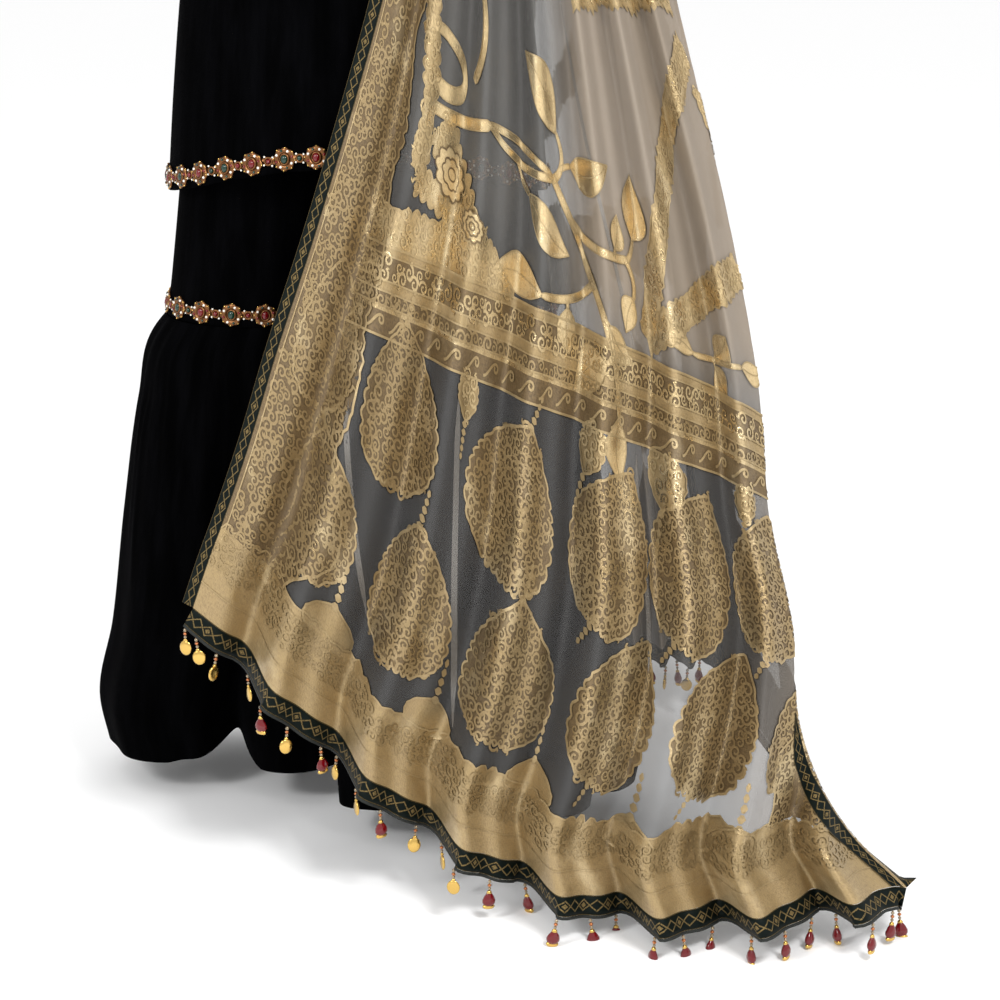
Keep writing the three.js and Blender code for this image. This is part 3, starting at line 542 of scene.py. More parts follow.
def net():
    """Silk net: grey where it is single, beige and closer where its folds lie one on another."""
    material, made, shader = new_material("silk net")
    threads = use_group(made, FINE_NET)
    uv = made.add("ShaderNodeUVMap", uv_map="flat")
    parts = made.add("ShaderNodeSeparateXYZ")
    made.join(uv.outputs[0], parts.inputs[0])
    upper = made.band(parts.outputs[1], 0.46, 0.60)
    double = made.sum("MULTIPLY", upper, made.band(parts.outputs[0], 0.40, 0.52))
    double = made.sum("MAXIMUM", double, made.sum("MULTIPLY", made.band(parts.outputs[0], 0.72, 0.84), 0.45))
    colour = made.mix(upper, (0.075, 0.073, 0.071, 1), (0.135, 0.130, 0.122, 1))
    made.join(made.mix(double, colour, (0.25, 0.205, 0.158, 1)), shader.inputs["Base Color"])
    shader.inputs["Roughness"].default_value = 0.55
    shader.inputs["Specular IOR Level"].default_value = 0.25
    cover = made.sum("ADD", threads.outputs["Cover"], made.sum("MULTIPLY", double, 0.20))
    made.join(cover, shader.inputs["Alpha"])
    return material


def net_double():
    material, made, shader = new_material("net folded double")
    threads = use_group(made, FINE_NET, Thread=0.55)
    shader.inputs["Base Color"].default_value = (0.22, 0.205, 0.185, 1)
    shader.inputs["Roughness"].default_value = 0.5
    made.join(threads.outputs["Cover"], shader.inputs["Alpha"])
    return material


VELVET_CLOTH = velvet()
NET_CLOTH = net()
NET_DOUBLE = net_double()
# The brocade ground is darkened below its own tan as painted shade in the recesses between the raised curls
# laid over it; the rosette lines reuse it as dark lines.
BROCADE_SHADED_GROUND = woven("brocade ground with painted recess shade", (0.095, 0.062, 0.030), (0.190, 0.130, 0.062), 0.5, 1.0, 0.45, 0.45,
                painted_highlight_share=0.12)
BROCADE_MAT = woven("brocade mat ground", (0.22, 0.152, 0.074), (0.36, 0.258, 0.124), 0.55, 1.0, 0.45, 0.45,
                    painted_highlight_share=0.30)
BROCADE_LIGHT = woven("brocade light ground", (0.22, 0.155, 0.076), (0.50, 0.37, 0.19), 0.54, 1.0, 0.36,
                      0.6, painted_highlight_share=0.8)
BROCADE_LINE = woven("brocade outline", (0.20, 0.142, 0.068), (0.36, 0.262, 0.130), 0.6, 1.4, 0.42, 0.4,
                     painted_highlight_share=0.35)
BROCADE_GLINT = woven("brocade bright scroll", (0.25, 0.178, 0.088), (0.50, 0.375, 0.195), 0.6, 1.2, 0.34,
                      0.6, painted_highlight_share=0.8)
FILIGREE = woven("brocade filigree", (0.180, 0.124, 0.058), (0.315, 0.225, 0.108), 0.58, 1.2, 0.40, 0.45,
                 painted_highlight_share=0.30)
VINE_GOLD = woven("brocade vine", (0.30, 0.21, 0.105), (0.62, 0.47, 0.25), 0.6, 0.9, 0.34, 0.6, painted_highlight_share=0.8)
COPPER_GOLD = plain("copper gold", (0.17, 0.075, 0.028), 0.34, 0.9)
BRIGHT_GOLD = plain("bright gold", (0.66, 0.43, 0.12), 0.24, 1.0)
# The red and green stones give off faint light of their own colour, a painted glow.
RED_STONE_PAINTED_GLOW = plain("red stone with painted glow", (0.115, 0.0006, 0.003), 0.10, 0.0, 0.15, 0.12)
GREEN_STONE_PAINTED_GLOW = plain("green stone with painted glow", (0.0006, 0.022, 0.012), 0.10, 0.0, 0.15, 0.10)
WHITE_BEAD = plain("white bead", (0.78, 0.74, 0.66), 0.15, 0.0, 0.6)
SMOKE_BEAD = plain("smoke bead", (0.26, 0.20, 0.12), 0.15, 0.2, 0.5)
DARK_BRAID = plain("dark braid", (0.006, 0.008, 0.006), 0.8)
COPPER_BEAD = plain("copper bead", (0.45, 0.16, 0.06), 0.3, 0.8)

# ---- kurta -----------------------------------------------------------------
WALL = 0.0016
NECK_HALF, SHOULDER_HALF, ARMHOLE_HALF = 88, 188, 166
FRONT_NECK, BACK_NECK = 0.42, 0.14
UNDERARM, HEM, HEM_RISE, HEM_CURVE_FROM = 1240, 659, 42, 750
KURTA_FOLDS, KURTA_FOLD_DEPTH = 9, 3
KURTA = columns_of(
    [(659, 202, 147, 1.0), (760, 194, 141, 0.5), (860, 184, 134, 0.15), (950, 173, 126, 0),
     (1035, 165, 119, 0), (1130, 182, 129, 0), (1240, 200, 133, 0)],
    ("height", "wide", "deep", "fold"),
)
# Creases of the kurta: where round the panel (cosine), from and to (mm), depth (mm), half width.
KURTA_CREASES = [
    (-0.62, 700, 1000, 1.6, 0.030), (-0.44, 690, 960, 1.8, 0.026), (-0.25, 700, 1020, 1.4, 0.028),
    (-0.05, 690, 900, 1.5, 0.030), (0.18, 700, 1010, 1.7, 0.030), (0.40, 690, 930, 1.4, 0.026),
    (0.63, 700, 1000, 1.6, 0.030), (-0.80, 980, 1180, 1.5, 0.03), (0.80, 980, 1180, 1.5, 0.03),
]


def soft_crease(where, height, creases):
    """Soft ridges along a panel, fading at both ends."""
    total = np.zeros(np.broadcast(where, height).shape)
    for middle, low, high, deep, half in creases:
        wander = middle + half * 0.8 * np.sin(height / 61.0 + middle * 9)
        along = np.clip((height - low) / 50, 0, 1) * np.clip((high - height) / 70, 0, 1)
        total += deep * np.exp(-(((where - wander) / half) ** 2)) * along
    return total


def kurta_skirt(cosine, height, front):
    s = {name: smooth(KURTA["height"], KURTA[name], height) for name in KURTA}
    sine = np.sqrt(np.maximum(0, 1 - cosine**2))
    wave = np.cos(np.arccos(cosine) * KURTA_FOLDS * 2) * KURTA_FOLD_DEPTH * np.maximum(0, s["fold"]) * sine
    wave = wave + soft_crease(cosine, height, KURTA_CREASES) * sine
    rise = HEM_RISE * sine**2 * np.maximum(0, HEM_CURVE_FROM - height) / (HEM_CURVE_FROM - HEM)
    return place(-cosine * s["wide"], (s["deep"] + wave) * sine * front, height + rise)


def kurta_yoke(cosine, step, front):
    wide, deep = KURTA["wide"][-1], KURTA["deep"][-1]
    tip = SHOULDER_HALF * cosine
    cut = (FRONT_NECK if front < 0 else BACK_NECK) * np.sqrt(np.maximum(0, 1 - (tip / NECK_HALF) ** 2))
    reached = step * (1 - cut)
    taken = (wide - ARMHOLE_HALF) * np.sin(np.pi * np.minimum(1, reached)) ** 0.8
    x = cosine * (wide + (SHOULDER_HALF - wide) * reached - taken)
    slope = np.maximum(0, np.abs(x) - NECK_HALF) / (SHOULDER_HALF - NECK_HALF)
    across = np.sqrt(np.maximum(0, 1 - (x / wide) ** 2))
    height = UNDERARM + (1421 - 33 * slope - UNDERARM) * np.sin(reached * np.pi / 2)
    return place(-x, front * deep * across * np.cos(reached * np.pi / 2), height)


def panel_cosines():
    """Columns of a kurta panel, closer at the side seams, one on each neck point."""
    neck = NECK_HALF / SHOULDER_HALF
    sides = np.cos(np.linspace(0, math.acos(neck), 17))[:-1]
    middle = neck * np.cos(np.linspace(0, np.pi, 33))
    return np.concatenate([sides, middle, -sides[::-1]])


def kurta_grid(front):
    cosine = panel_cosines()[None, :]
    skirt = kurta_skirt(cosine, np.linspace(HEM, UNDERARM, 72)[:, None], front)
    yoke = kurta_yoke(cosine, np.linspace(0.03, 1.0, 22)[:, None], front)
    return np.concatenate([skirt, yoke])


def kurta_panel(name, front):
    grid = kurta_grid(front)
    normals = grid_normals(grid, False)
    normals *= np.sign(np.sum(normals[10, 30] * [0, front, 0]))
    normals[:72, [0, -1], 1] = 0
    return grid, unit(normals)


KURTA_FRONT = kurta_panel("front", -1)
KURTA_BACK = kurta_panel("back", 1)


def sew_kurta():
    made = []
    for label, (grid, normals) in (("front", KURTA_FRONT), ("back", KURTA_BACK)):
        obj = cloth_shell(f"kurta_{label}_cloth", grid, WALL, flat_lengths(grid), VELVET_CLOTH,
                          inner=grid - normals * WALL)
        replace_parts(obj, "kurta_" + label)
        made.append(obj)
    return made


# ---- sleeves ---------------------------------------------------------------
SLEEVE = columns_of(
    [(219, 1297, 66, 78), (244, 1265, 60, 52), (260, 1222, 57, 24),
     (265, 1160, 57, 9), (269, 1080, 55, 6), (275, 940, 53, 3)],
    ("x", "height", "radius", "lean"),
)
# Creases round the elbow: height, depth (mm), half reach, where round the arm it is deepest (turn).
ELBOW_CREASES = [(1150, 2.2, 9, 1.5), (1124, 2.6, 8, 1.8), (1101, 2.0, 8, 1.2), (1020, 1.5, 10, 4.4),
                 (985, 1.4, 9, 1.0)]


def sleeve_rings(side):
    column = -1 if side > 0 else 0
    edges = [panel[0][71:, column] for panel in (KURTA_FRONT, KURTA_BACK)]
    start = np.concatenate([edges[0], edges[1][1:][::-1]])
    start = start + np.array([side, 0, 0.25]) * 0.0004
    count = len(start)
    low, high = start[:, 2].min(), start[:, 2].max()
    own = np.mod(np.arctan2(-start[:, 1], (low + high) / 2 - start[:, 2]), 2 * np.pi)
    own[0] = 0
    even = 2 * np.pi * np.arange(count) / count
    rings = [start, start + np.array([side * 0.005, 0, 0])]
    last = len(SLEEVE["x"]) - 1
    for where in np.linspace(0, last, 60):
        s = {name: smooth(np.arange(last + 1), SLEEVE[name], where) for name in SLEEVE}
        turns = own + (even - own) * where / last
        lean = math.radians(s["lean"])
        crease = sum(deep * math.exp(-(((s["height"] - h) / reach) ** 2)) * np.maximum(0, np.cos(turns - at))
                     for h, deep, reach, at in ELBOW_CREASES)
        radius = s["radius"] - crease
        out = -radius * np.cos(turns)
        rings.append(place(side * (s["x"] + out * math.cos(lean)), -radius * np.sin(turns),
                           s["height"] + out * math.sin(lean)))
    grid = np.array(rings)
    return np.concatenate([grid, grid[:, :1]], axis=1)


def sew_sleeve(name, side):
    grid = sleeve_rings(side)
    obj = cloth_shell(name + "_cloth", grid, WALL, flat_lengths(grid), VELVET_CLOTH,
                      wraps=True)
    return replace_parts(obj, name)


# ---- gharara: waistband, legs and flares -------------------------------------
LEG = columns_of(
    [(1010, 160, 113, 0, 0, 0), (940, 165, 118, 0, 0, 0), (880, 171, 121, 0, 0, 0),
     (845, 173, 116, 0.3, 0, 0),
     (820, 175, 110, 0.68, 0, 0), (800, 177, 102, 1, 0.6, 0), (740, 182, 94, 1, 2, 0.08),
     (660, 191, 88, 1, 3, 0.3),
     (590, 200, 88, 1, 3, 0.75), (546, 206, 90, 1, 3, 0.97), (521, 210, 91, 1, 3, 1)][::-1],
    ("height", "wide", "deep", "thigh", "inner", "step"),
)
FLARE = columns_of(
    [(520.7, 211, 2, 92, 0, 0.04), (498, 226, 2, 99, 0.06, 0.12), (425, 243, -3, 105, 0.24, 0.28),
     (290, 264, -12, 114, 0.55, 0.52), (150, 281, -20, 121, 0.81, 0.8), (52, 298, -24, 125, 0.97, 1.0),
     (4, 290, -22, 121, 1, 0.96)][::-1],
    ("height", "outer", "inner", "deep", "back", "flute"),
)
RIGHT_FLUTES = [(4, 13, 17), (38, 16, 15), (62, -9, 8), (82, -62, 10), (112, 20, 17), (152, -22, 12),
                (184, -8, 14),
                (212, -16, 10), (238, 13, 13), (264, -26, 9), (290, 14, 13), (315, -20, 9), (337, 9, 10)]
LEFT_FLUTES = [(0, 12, 15), (32, -18, 9), (58, 15, 14), (86, -34, 9), (114, 12, 14), (146, 30, 13),
               (178, -8, 12),
               (208, -15, 10), (236, 14, 13), (266, -24, 9), (293, 14, 13), (324, -17, 10)]
STEPS = {-1: (20, 100, 30), 1: (-30, -46, 12)}
# Creases of a leg: share from inner to side seam, from and to (mm), depth (mm), half width.
LEG_CREASES = [(0.44, 560, 700, 2.2, 0.018), (0.56, 565, 690, 2.8, 0.016), (0.66, 560, 720, 2.0, 0.018),
               (0.79, 560, 700, 2.0, 0.016), (0.30, 570, 720, 2.0, 0.02), (0.16, 565, 690, 1.8, 0.018)]
# Creases of a flare: angle, from and to (mm), depth (mm), half width (degrees).
FLARE_CREASES = [(22, 250, 480, 2.6, 2.6), (31, 200, 470, 2.2, 2.2), (47, 330, 500, 2.4, 2.0),
                 (58, 120, 400, 2.8, 2.6),
                 (70, 260, 495, 2.0, 2.0), (97, 300, 500, 2.2, 2.2), (124, 180, 440, 2.4, 2.4),
                 (140, 330, 500, 2.0, 2.0),
                 (196, 150, 430, 2.4, 2.6), (224, 260, 490, 2.2, 2.4), (251, 120, 420, 2.6, 2.6),
                 (278, 290, 500, 2.0, 2.2),
                 (303, 160, 450, 2.4, 2.6), (329, 260, 490, 2.2, 2.2), (350, 200, 460, 2.0, 2.4)]


def leg_grid(side, face):
    height = np.linspace(521, 1010, 80)[:, None]
    share = np.linspace(0, 1, 41)[None, :]
    s = {name: smooth(LEG["height"], LEG[name], height) for name in LEG}
    thigh = np.clip(s["thigh"], 0, 1)
    hip_x = s["wide"] * np.sin(share * np.pi / 2)
    hip_y = s["deep"] * np.cos(share * np.pi / 2)
    inner = np.maximum(0, s["inner"])
    thigh_x = (s["wide"] + inner) / 2 - (s["wide"] - inner) / 2 * np.cos(share * np.pi)
    crease = soft_crease(share, height, LEG_CREASES) * np.sin(share * np.pi) ** 0.5
    thigh_y = s["deep"] * np.sin(share * np.pi) + crease
    x = hip_x + (thigh_x - hip_x) * thigh
    y = hip_y + (thigh_y - hip_y) * thigh
    forward = STEPS[side][0] * np.clip(s["step"], 0, 1)
    return place(side * x, face * y + forward, height)


def sew_leg(side, word, face, label):
    grid = leg_grid(side, face)
    normals = grid_normals(grid, False)
    normals *= np.sign(normals[60, 20, 1] * face)
    normals[:, -1, 1] = 0
    normals[:32, 0, 1] = 0
    normals[32:, 0, 0] = 0
    name = f"{word}_leg_{label}_cloth"
    obj = cloth_shell(name, grid, WALL, flat_lengths(grid), VELVET_CLOTH,
                      inner=grid - unit(normals) * WALL)
    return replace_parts(obj, f"{word}_leg_{label}")


def flute_sum(flutes, angle):
    total = np.zeros_like(angle)
    for at, reach, spread in flutes:
        apart = np.abs(np.mod(angle - at + 540, 360) - 180)
        total += reach * np.exp(-((apart / spread) ** 2))
    return total


def flare_grid(side, flutes):
    knee, hem, valley_lift = STEPS[side]
    height = np.linspace(4, 520.7, 76)[:, None]
    angle = np.linspace(0, 360, 211)[None, :]
    turn = np.radians(angle)
    s = {name: smooth(FLARE["height"], FLARE[name], height) for name in FLARE}
    out = flute_sum(flutes, angle) * s["flute"]
    gathers = 1.5 * np.cos(turn * 30 + 0.8 * np.sin(turn * 7)) * np.maximum(0, 1 - s["flute"]) ** 3
    gathers = gathers * np.clip((520.7 - height) / 12, 0, 1)
    creases = np.zeros_like(out)
    for at, low, high, deep, half in FLARE_CREASES:
        wander = at + half * 0.9 * np.sin(height / 70 + at)
        apart = np.abs(np.mod(angle - wander + 540, 360) - 180)
        along = np.clip((height - low) / 70, 0, 1) * np.clip((high - height) / 60, 0, 1)
        creases += deep * np.exp(-((apart / half) ** 2)) * along
    swell = out + gathers + creases
    middle, half = (s["outer"] + s["inner"]) / 2, (s["outer"] - s["inner"]) / 2
    x = middle + (half + swell) * np.cos(turn)
    y = -(s["deep"] + swell) * np.sin(turn)
    valley = np.maximum(0, -out) / 62
    lift = valley_lift * valley * np.clip((52 - height) / 48, 0, 1)
    return place(side * x, y + knee + (hem - knee) * s["back"], height + lift)


def sew_flare(side, word, flutes):
    grid = flare_grid(side, flutes)
    obj = cloth_shell(word + "_flare_cloth", grid, WALL, flat_lengths(grid), VELVET_CLOTH,
                      wraps=True)
    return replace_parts(obj, word + "_flare")


def sew_waistband():
    turn = np.linspace(0, 2 * np.pi, 121)[None, :]
    rows = np.array([(1010.3, 5.4), (1022, 2.9), (1035, 2.4), (1044.3, 3.4)])
    height, taken = rows[:, :1], rows[:, 1:]
    gathers = 0.35 * np.cos(turn * 46) - 0.35
    grid = place((165 - taken + gathers) * np.cos(turn), (119 - taken + gathers) * np.sin(turn), height)
    obj = cloth_shell("gharara_waistband_cloth", grid, 0.0026, flat_lengths(grid), VELVET_CLOTH,
                      wraps=True)
    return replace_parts(obj, "gharara_waistband")


kurta_front, kurta_back = sew_kurta()
sleeve_right = sew_sleeve("sleeve_right", -1)
sleeve_left = sew_sleeve("sleeve_left", 1)
for side, word in ((-1, "right"), (1, "left")):
    for face, label in ((-1, "front"), (1, "back")):
        sew_leg(side, word, face, label)
waistband = sew_waistband()
right_flare = sew_flare(-1, "right", RIGHT_FLUTES)
left_flare = sew_flare(1, "left", LEFT_FLUTES)

# ---- dupatta: net --------------------------------------------------------------
# Lengths on the cloth in metres: u from the inner edge, v up from the front's lower edge.
FRONT_LENGTH = float(cloth.v[:, 0][-1])


def lay_net():
    """The net in one piece, from the front's lower edge over the shoulder to the back's."""
    rows, columns = 300, 236
    r = np.linspace(0, FINE_ROWS - 1, rows).round().astype(int)
    c = np.linspace(0, FINE_COLUMNS - 1, columns).round().astype(int)
    grid = cloth.points[np.ix_(r, c)]
    flat = np.stack([np.broadcast_to(cloth.a[c] * DUPATTA_WIDE, (rows, columns)), cloth.v[np.ix_(r, c)]], -1)
    cells = grid_cells(rows, columns)
    faces = cells[..., 0] * columns + cells[..., 1]
    obj = piece_from("dupatta_net", grid.reshape(-1, 3), faces, [flat[cells[..., 0], cells[..., 1]]],
                     NET_CLOTH)
    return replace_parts(obj, "dupatta_front_fall", "dupatta_shoulder", "dupatta_back_fall")


# ---- dupatta: brocade figures ----------------------------------------------------
# The field: two rows of leaves. A row's foot and top, then for each leaf the place of its foot
# across the cloth, how far it leans by its top, its half width and its stalk
# (1 at the point, -1 at the broad end, 0 none).
LEAF_ROWS = [
    (0.13, 0.26, [(0.11, -0.02, 0.055, 0), (0.25, -0.01, 0.060, 1), (0.40, 0.00, 0.068, 1),
                  (0.55, 0.045, 0.064, -1),
                  (0.70, 0.05, 0.066, -1), (0.83, 0.045, 0.040, 0)]),
    (0.27, 0.41, [(0.06, -0.01, 0.045, 0), (0.19, -0.025, 0.062, 1), (0.36, 0.03, 0.074, 1),
                  (0.51, 0.06, 0.064, -1),
                  (0.64, 0.065, 0.066, -1), (0.78, 0.035, 0.055, -1), (0.94, 0.015, 0.050, 1)]),
]
LEAF_BEND = 0.05
# Tips that stand out of the lower border, at an even step.
TIP_FIRST, TIP_STEP, TIP_COUNT = 0.16, 0.155, 5
TIP_HIGH, TIP_LOW, TIP_REACH = 0.125, 0.10, 0.045
LEAF_LOBES = 11
LEAF_ROUND = np.array([(0.0, 0.40), (0.03, 0.62), (0.08, 0.80), (0.18, 0.94), (0.32, 1.0), (0.48, 0.97),
                       (0.62, 0.86), (0.75, 0.66), (0.87, 0.40), (0.95, 0.18), (1.0, 0.02)])
LEAF_FOOT_LOBES = 0.005
VINE_ROUND = np.array([(0.0, 0.04), (0.08, 0.36), (0.20, 0.74), (0.34, 0.97), (0.48, 1.0), (0.62, 0.86),
                       (0.78, 0.55),
                       (0.92, 0.20), (1.0, 0.0)])
INNER_BORDER, INNER_BULGE, BULGE_AT, BULGE_HALF = 0.100, 0.036, 0.165, 0.055
BORDER_WAVE, BORDER_WAVE_LENGTH = 0.012, 0.62
OUTER_BORDER, OUTER_BORDER_LOW, OUTER_NARROWS = 0.065, 0.175, (0.17, 0.26)
HEM_BORDER = 0.102
# The bands across rise to a peak and fall away on either side of it.
BAND_PEAK_AT, BAND_PEAK = 0.55, 0.44
BAND_FALL_INNER, BAND_FALL_OUTER = 0.105, 0.03
BAND_HEIGHT = 0.084
SCROLL_HEIGHT = 0.036
SCROLL_END = 0.335


def leaf_shape(foot, top, half, bend, rows=43, columns=25, lobes=LEAF_LOBES, serration=0.1,
               outline=LEAF_ROUND):
    """A leaf as a grid: rows along the midrib, columns from edge to edge."""
    foot, top = np.asarray(foot, float), np.asarray(top, float)
    along = np.linspace(0, 1, rows)
    rib = foot + (top - foot) * along[:, None]
    axis = unit((top - foot)[None, :])[0]
    side = np.array([axis[1], -axis[0]])
    rib = rib + side * (bend * np.linalg.norm(top - foot) * np.sin(np.pi * along))[:, None]
    width = np.interp(along, outline[:, 0], outline[:, 1]) * half
    uneven = along + 0.025 * np.sin(11 * along + half * 90)
    teeth = 1 - serration * (1 - np.abs(np.sin(np.pi * lobes * uneven)) ** 0.6)
    across = np.linspace(-1, 1, columns)
    grid = rib[:, None, :] + side * (width * teeth)[:, None, None] * across[None, :, None]
    foot_lobes = LEAF_FOOT_LOBES * np.abs(np.sin(2.5 * np.pi * across)) * min(1.0, width[0] / 0.02)
    grid[0] -= axis * foot_lobes[:, None]
    return grid


def leaf_edge(grid):
    """The outline of a leaf, from one side of its foot round and back."""
    return np.concatenate([grid[0], grid[1:, -1], grid[::-1, 0][:-1]])


def segmented_tip(flat, foot, top, half=0.0055, beads=5):
    """A tapering row of small lozenges."""
    foot, top = np.asarray(foot, float), np.asarray(top, float)
    axis = top - foot
    side = unit(np.array([[axis[1], -axis[0]]]))[0]
    for k in range(beads):
        low, high = foot + axis * (k + 0.08) / beads, foot + axis * (k + 0.92) / beads
        wide = half * (1 - 0.6 * k / beads)
        rows = [low[None] + side * np.array([[-0.35], [0.35]]) * wide,
                ((low + high) / 2)[None] + side * np.array([[-1], [1]]) * wide,
                high[None] + side * np.array([[-0.35], [0.35]]) * wide]
        flat.grid(np.array(rows))


def edge_teeth(lengths, pitch, deep, uneven=0.0):
    """Depth of a serrated edge along its length."""
    tooth = np.abs(np.sin(np.pi * lengths / pitch)) ** 0.7
    return deep * tooth * (1 + uneven * np.sin(lengths * 37.0) + uneven * np.sin(lengths * 91.0 + 1.3))


def strip_between(flat, low, high, rows):
    """A figure between two lines of points of the same length."""
    share = np.linspace(0, 1, rows)[:, None, None]
    flat.grid(low[None] + (high - low)[None] * share)


class Figures:
    """All figures of the brocade, gathered by the way they are woven."""

    def __init__(self):
        # Leaf bodies, side borders and band stripes, whose ground colour is partly painted shade between the
        # raised curls.
        self.ground = Flat()
        self.mat_ground = Flat()
        self.light_ground = Flat()
        self.outline = Flat()
        self.vine = Flat()
        self.scroll_ground = Flat()
        self.bright_scroll = Flat()
        self.rosette = Flat()
        self.rosette_line = Flat()

    def leaf(self, foot, top, half, bend, stalk=1):
        shape = leaf_shape(foot, top, half, bend)
        self.ground.grid(shape)
        self.scroll_ground.grid(leaf_shape(foot, top, half * 0.86, bend, serration=0.0))
        self.outline.ribbon(leaf_edge(shape), 0.0027, closed=True)
        foot, top = np.asarray(foot, float), np.asarray(top, float)
        away = unit((top - foot)[None])[0]
        lean = np.array([away[1], -away[0]]) * 0.25
        if stalk > 0:
            segmented_tip(self.outline, top - away * 0.004, top + unit((away + lean)[None])[0] * 0.036)
        if stalk < 0:
            segmented_tip(self.outline, foot + away * 0.003, foot - unit((away + lean)[None])[0] * 0.032)


figures = Figures()


def band_line(u):
    """The lower edge of the bands across the cloth."""
    inner = BAND_FALL_INNER * (np.maximum(0, BAND_PEAK_AT - u) / BAND_PEAK_AT) ** 2
    outer = BAND_FALL_OUTER * (np.maximum(0, u - BAND_PEAK_AT) / (DUPATTA_WIDE - BAND_PEAK_AT)) ** 2
    return BAND_PEAK - inner - outer


def inner_border(v):
    bulge = INNER_BULGE * np.exp(-(((v - BULGE_AT) / BULGE_HALF) ** 2))
    return INNER_BORDER + bulge + BORDER_WAVE * np.sin(2 * np.pi * (v - BULGE_AT) / BORDER_WAVE_LENGTH)


def outer_border(v):
    narrow = np.clip((v - OUTER_NARROWS[0]) / (OUTER_NARROWS[1] - OUTER_NARROWS[0]), 0, 1)
    return OUTER_BORDER_LOW + (OUTER_BORDER - OUTER_BORDER_LOW) * narrow


def from_ends(v):
    """How far a place is from the nearer end of the cloth."""
    return np.minimum(v, FRONT_LENGTH - v)


def lay_hem_border(base, way):
    """The lower border with its serrated upper edge, at one end of the cloth."""
    u = np.linspace(0, DUPATTA_WIDE, 190)
    upper = HEM_BORDER - 0.012 + edge_teeth(u, 0.017, 0.005, 0.5) + 0.006 * np.sin(u * 19)
    low = np.stack([u, np.full_like(u, base)], -1)
    high = np.stack([u, base + way * upper], -1)
    strip_between(figures.mat_ground, low, high, 15)
    strip_between(figures.scroll_ground, low + [0, way * 0.050], high - [0, way * 0.012], 4)
    figures.outline.ribbon(high, 0.0022)
    figures.outline.ribbon(np.stack([u, np.full_like(u, base + way * 0.030)], -1), 0.0012)


def lay_side_borders():
    """The borders along both edges of the cloth; their inner edges are lobed."""
    v = np.arange(HEM_BORDER - 0.01, FRONT_LENGTH - HEM_BORDER + 0.01, 0.0055)
    for side, way, width_at in ((0.0, 1, inner_border), (DUPATTA_WIDE, -1, outer_border)):
        wide = width_at(from_ends(v))
        wide = wide + edge_teeth(v, 0.016, 0.004, 0.5) + 0.005 * np.sin(v * 46)
        edge = np.stack([np.full_like(v, side), v], -1)
        inner = np.stack([side + way * wide, v], -1)
        strip_between(figures.ground, edge, inner, 13)
        strip_between(figures.scroll_ground, edge + [way * 0.010, 0], inner - [way * 0.007, 0], 5)
        figures.outline.ribbon(inner, 0.0026)
        figures.outline.ribbon(edge + [way * 0.006, 0], 0.0016)


def curve_through(points, count=60):
    """A smooth line through a few points."""
    points = np.asarray(points, float)
    knots = lengths_of(points)
    where = np.linspace(0, knots[-1], count)
    return np.stack([smooth(knots, points[:, k], where) for k in range(points.shape[1])], -1)


def running_scroll(line, pitch, high):
    """A line of waves, each ending in a curl."""
    line = curve_through(line, 240)
    reach = lengths_of(line)
    tangent = unit(np.gradient(line, axis=0))
    side = np.stack([-tangent[:, 1], tangent[:, 0]], -1)
    at = lambda where, off: np.stack([np.interp(where, reach, line[:, k] ) for k in range(2)], -1) + (
        np.stack([np.interp(where, reach, side[:, k]) for k in range(2)], -1) * np.asarray(off)[:, None])
    for start in np.arange(0.0, reach[-1] - pitch, pitch):
        share = np.linspace(0, 1, 13)
        rise = high * 0.5 * np.sin(np.pi * (share - 0.5))
        figures.outline.ribbon(at(start + pitch * 0.62 * share, rise), 0.0026)
        turn = np.linspace(np.pi / 2, -1.35 * np.pi, 12)
        curl = np.linspace(1.0, 0.42, 12) * high * 0.34
        middle = start + pitch * 0.62
        figures.outline.ribbon(at(middle + curl * np.cos(turn), high * 0.16 + curl * np.sin(turn)), 0.0026)


def cross_bands(base, way):
    """Bands across: running scroll, line, plain, floral, line and a scroll band with a serrated end."""
    u = np.linspace(0.075, DUPATTA_WIDE - 0.05, 170)
    lower = band_line(u)
    at = lambda share: np.stack([u, base + way * (lower + BAND_HEIGHT * share)], -1)

    def strip(into, start, end):
        strip_between(into, at(start), at(end), max(3, int(BAND_HEIGHT * (end - start) / 0.005) + 2))

    strip(figures.ground, 0.00, 0.28)
    strip(figures.light_ground, 0.28, 0.34)
    strip(figures.ground, 0.34, 0.50)
    strip(figures.mat_ground, 0.50, 0.62)
    strip(figures.ground, 0.62, 0.90)
    strip(figures.mat_ground, 0.90, 1.00)
    strip(figures.scroll_ground, 0.37, 0.48)
    strip(figures.bright_scroll, 0.65, 0.88)
    for share, wide in ((0.0, 0.0024), (0.34, 0.0018), (0.50, 0.0018), (0.62, 0.0018), (0.90, 0.0016),
                        (1.0, 0.0024)):
        figures.outline.ribbon(at(share), wide)
    running_scroll(at(0.15)[::8], 0.033, 0.013)
    # The scroll band above, which ends in a ragged edge.
    u = np.linspace(0.07, SCROLL_END, 70)
    low = np.stack([u, base + way * (band_line(u) + BAND_HEIGHT)], -1)
    ragged = SCROLL_HEIGHT * np.clip((SCROLL_END - u) / 0.05, 0, 1) + edge_teeth(u, 0.015, 0.006, 0.5)
    high = low + np.stack([np.zeros_like(u), way * ragged], -1)
    strip_between(figures.light_ground, low, high, 8)
    strip_between(figures.bright_scroll, low + [0, way * 0.003], low + (high - low) * 0.9, 4)
    figures.outline.ribbon(high, 0.0022)


# Lobed drops below the bands: the place across the cloth, how far they hang, their lean and half width.
PENDANTS = [(0.28, 0.040, 0.00, 0.018), (0.51, 0.045, -0.02, 0.021), (0.64, 0.052, -0.015, 0.034),
            (0.78, 0.035, -0.01, 0.016), (0.90, 0.040, -0.01, 0.024)]
TAIL_SHARE = 0.9


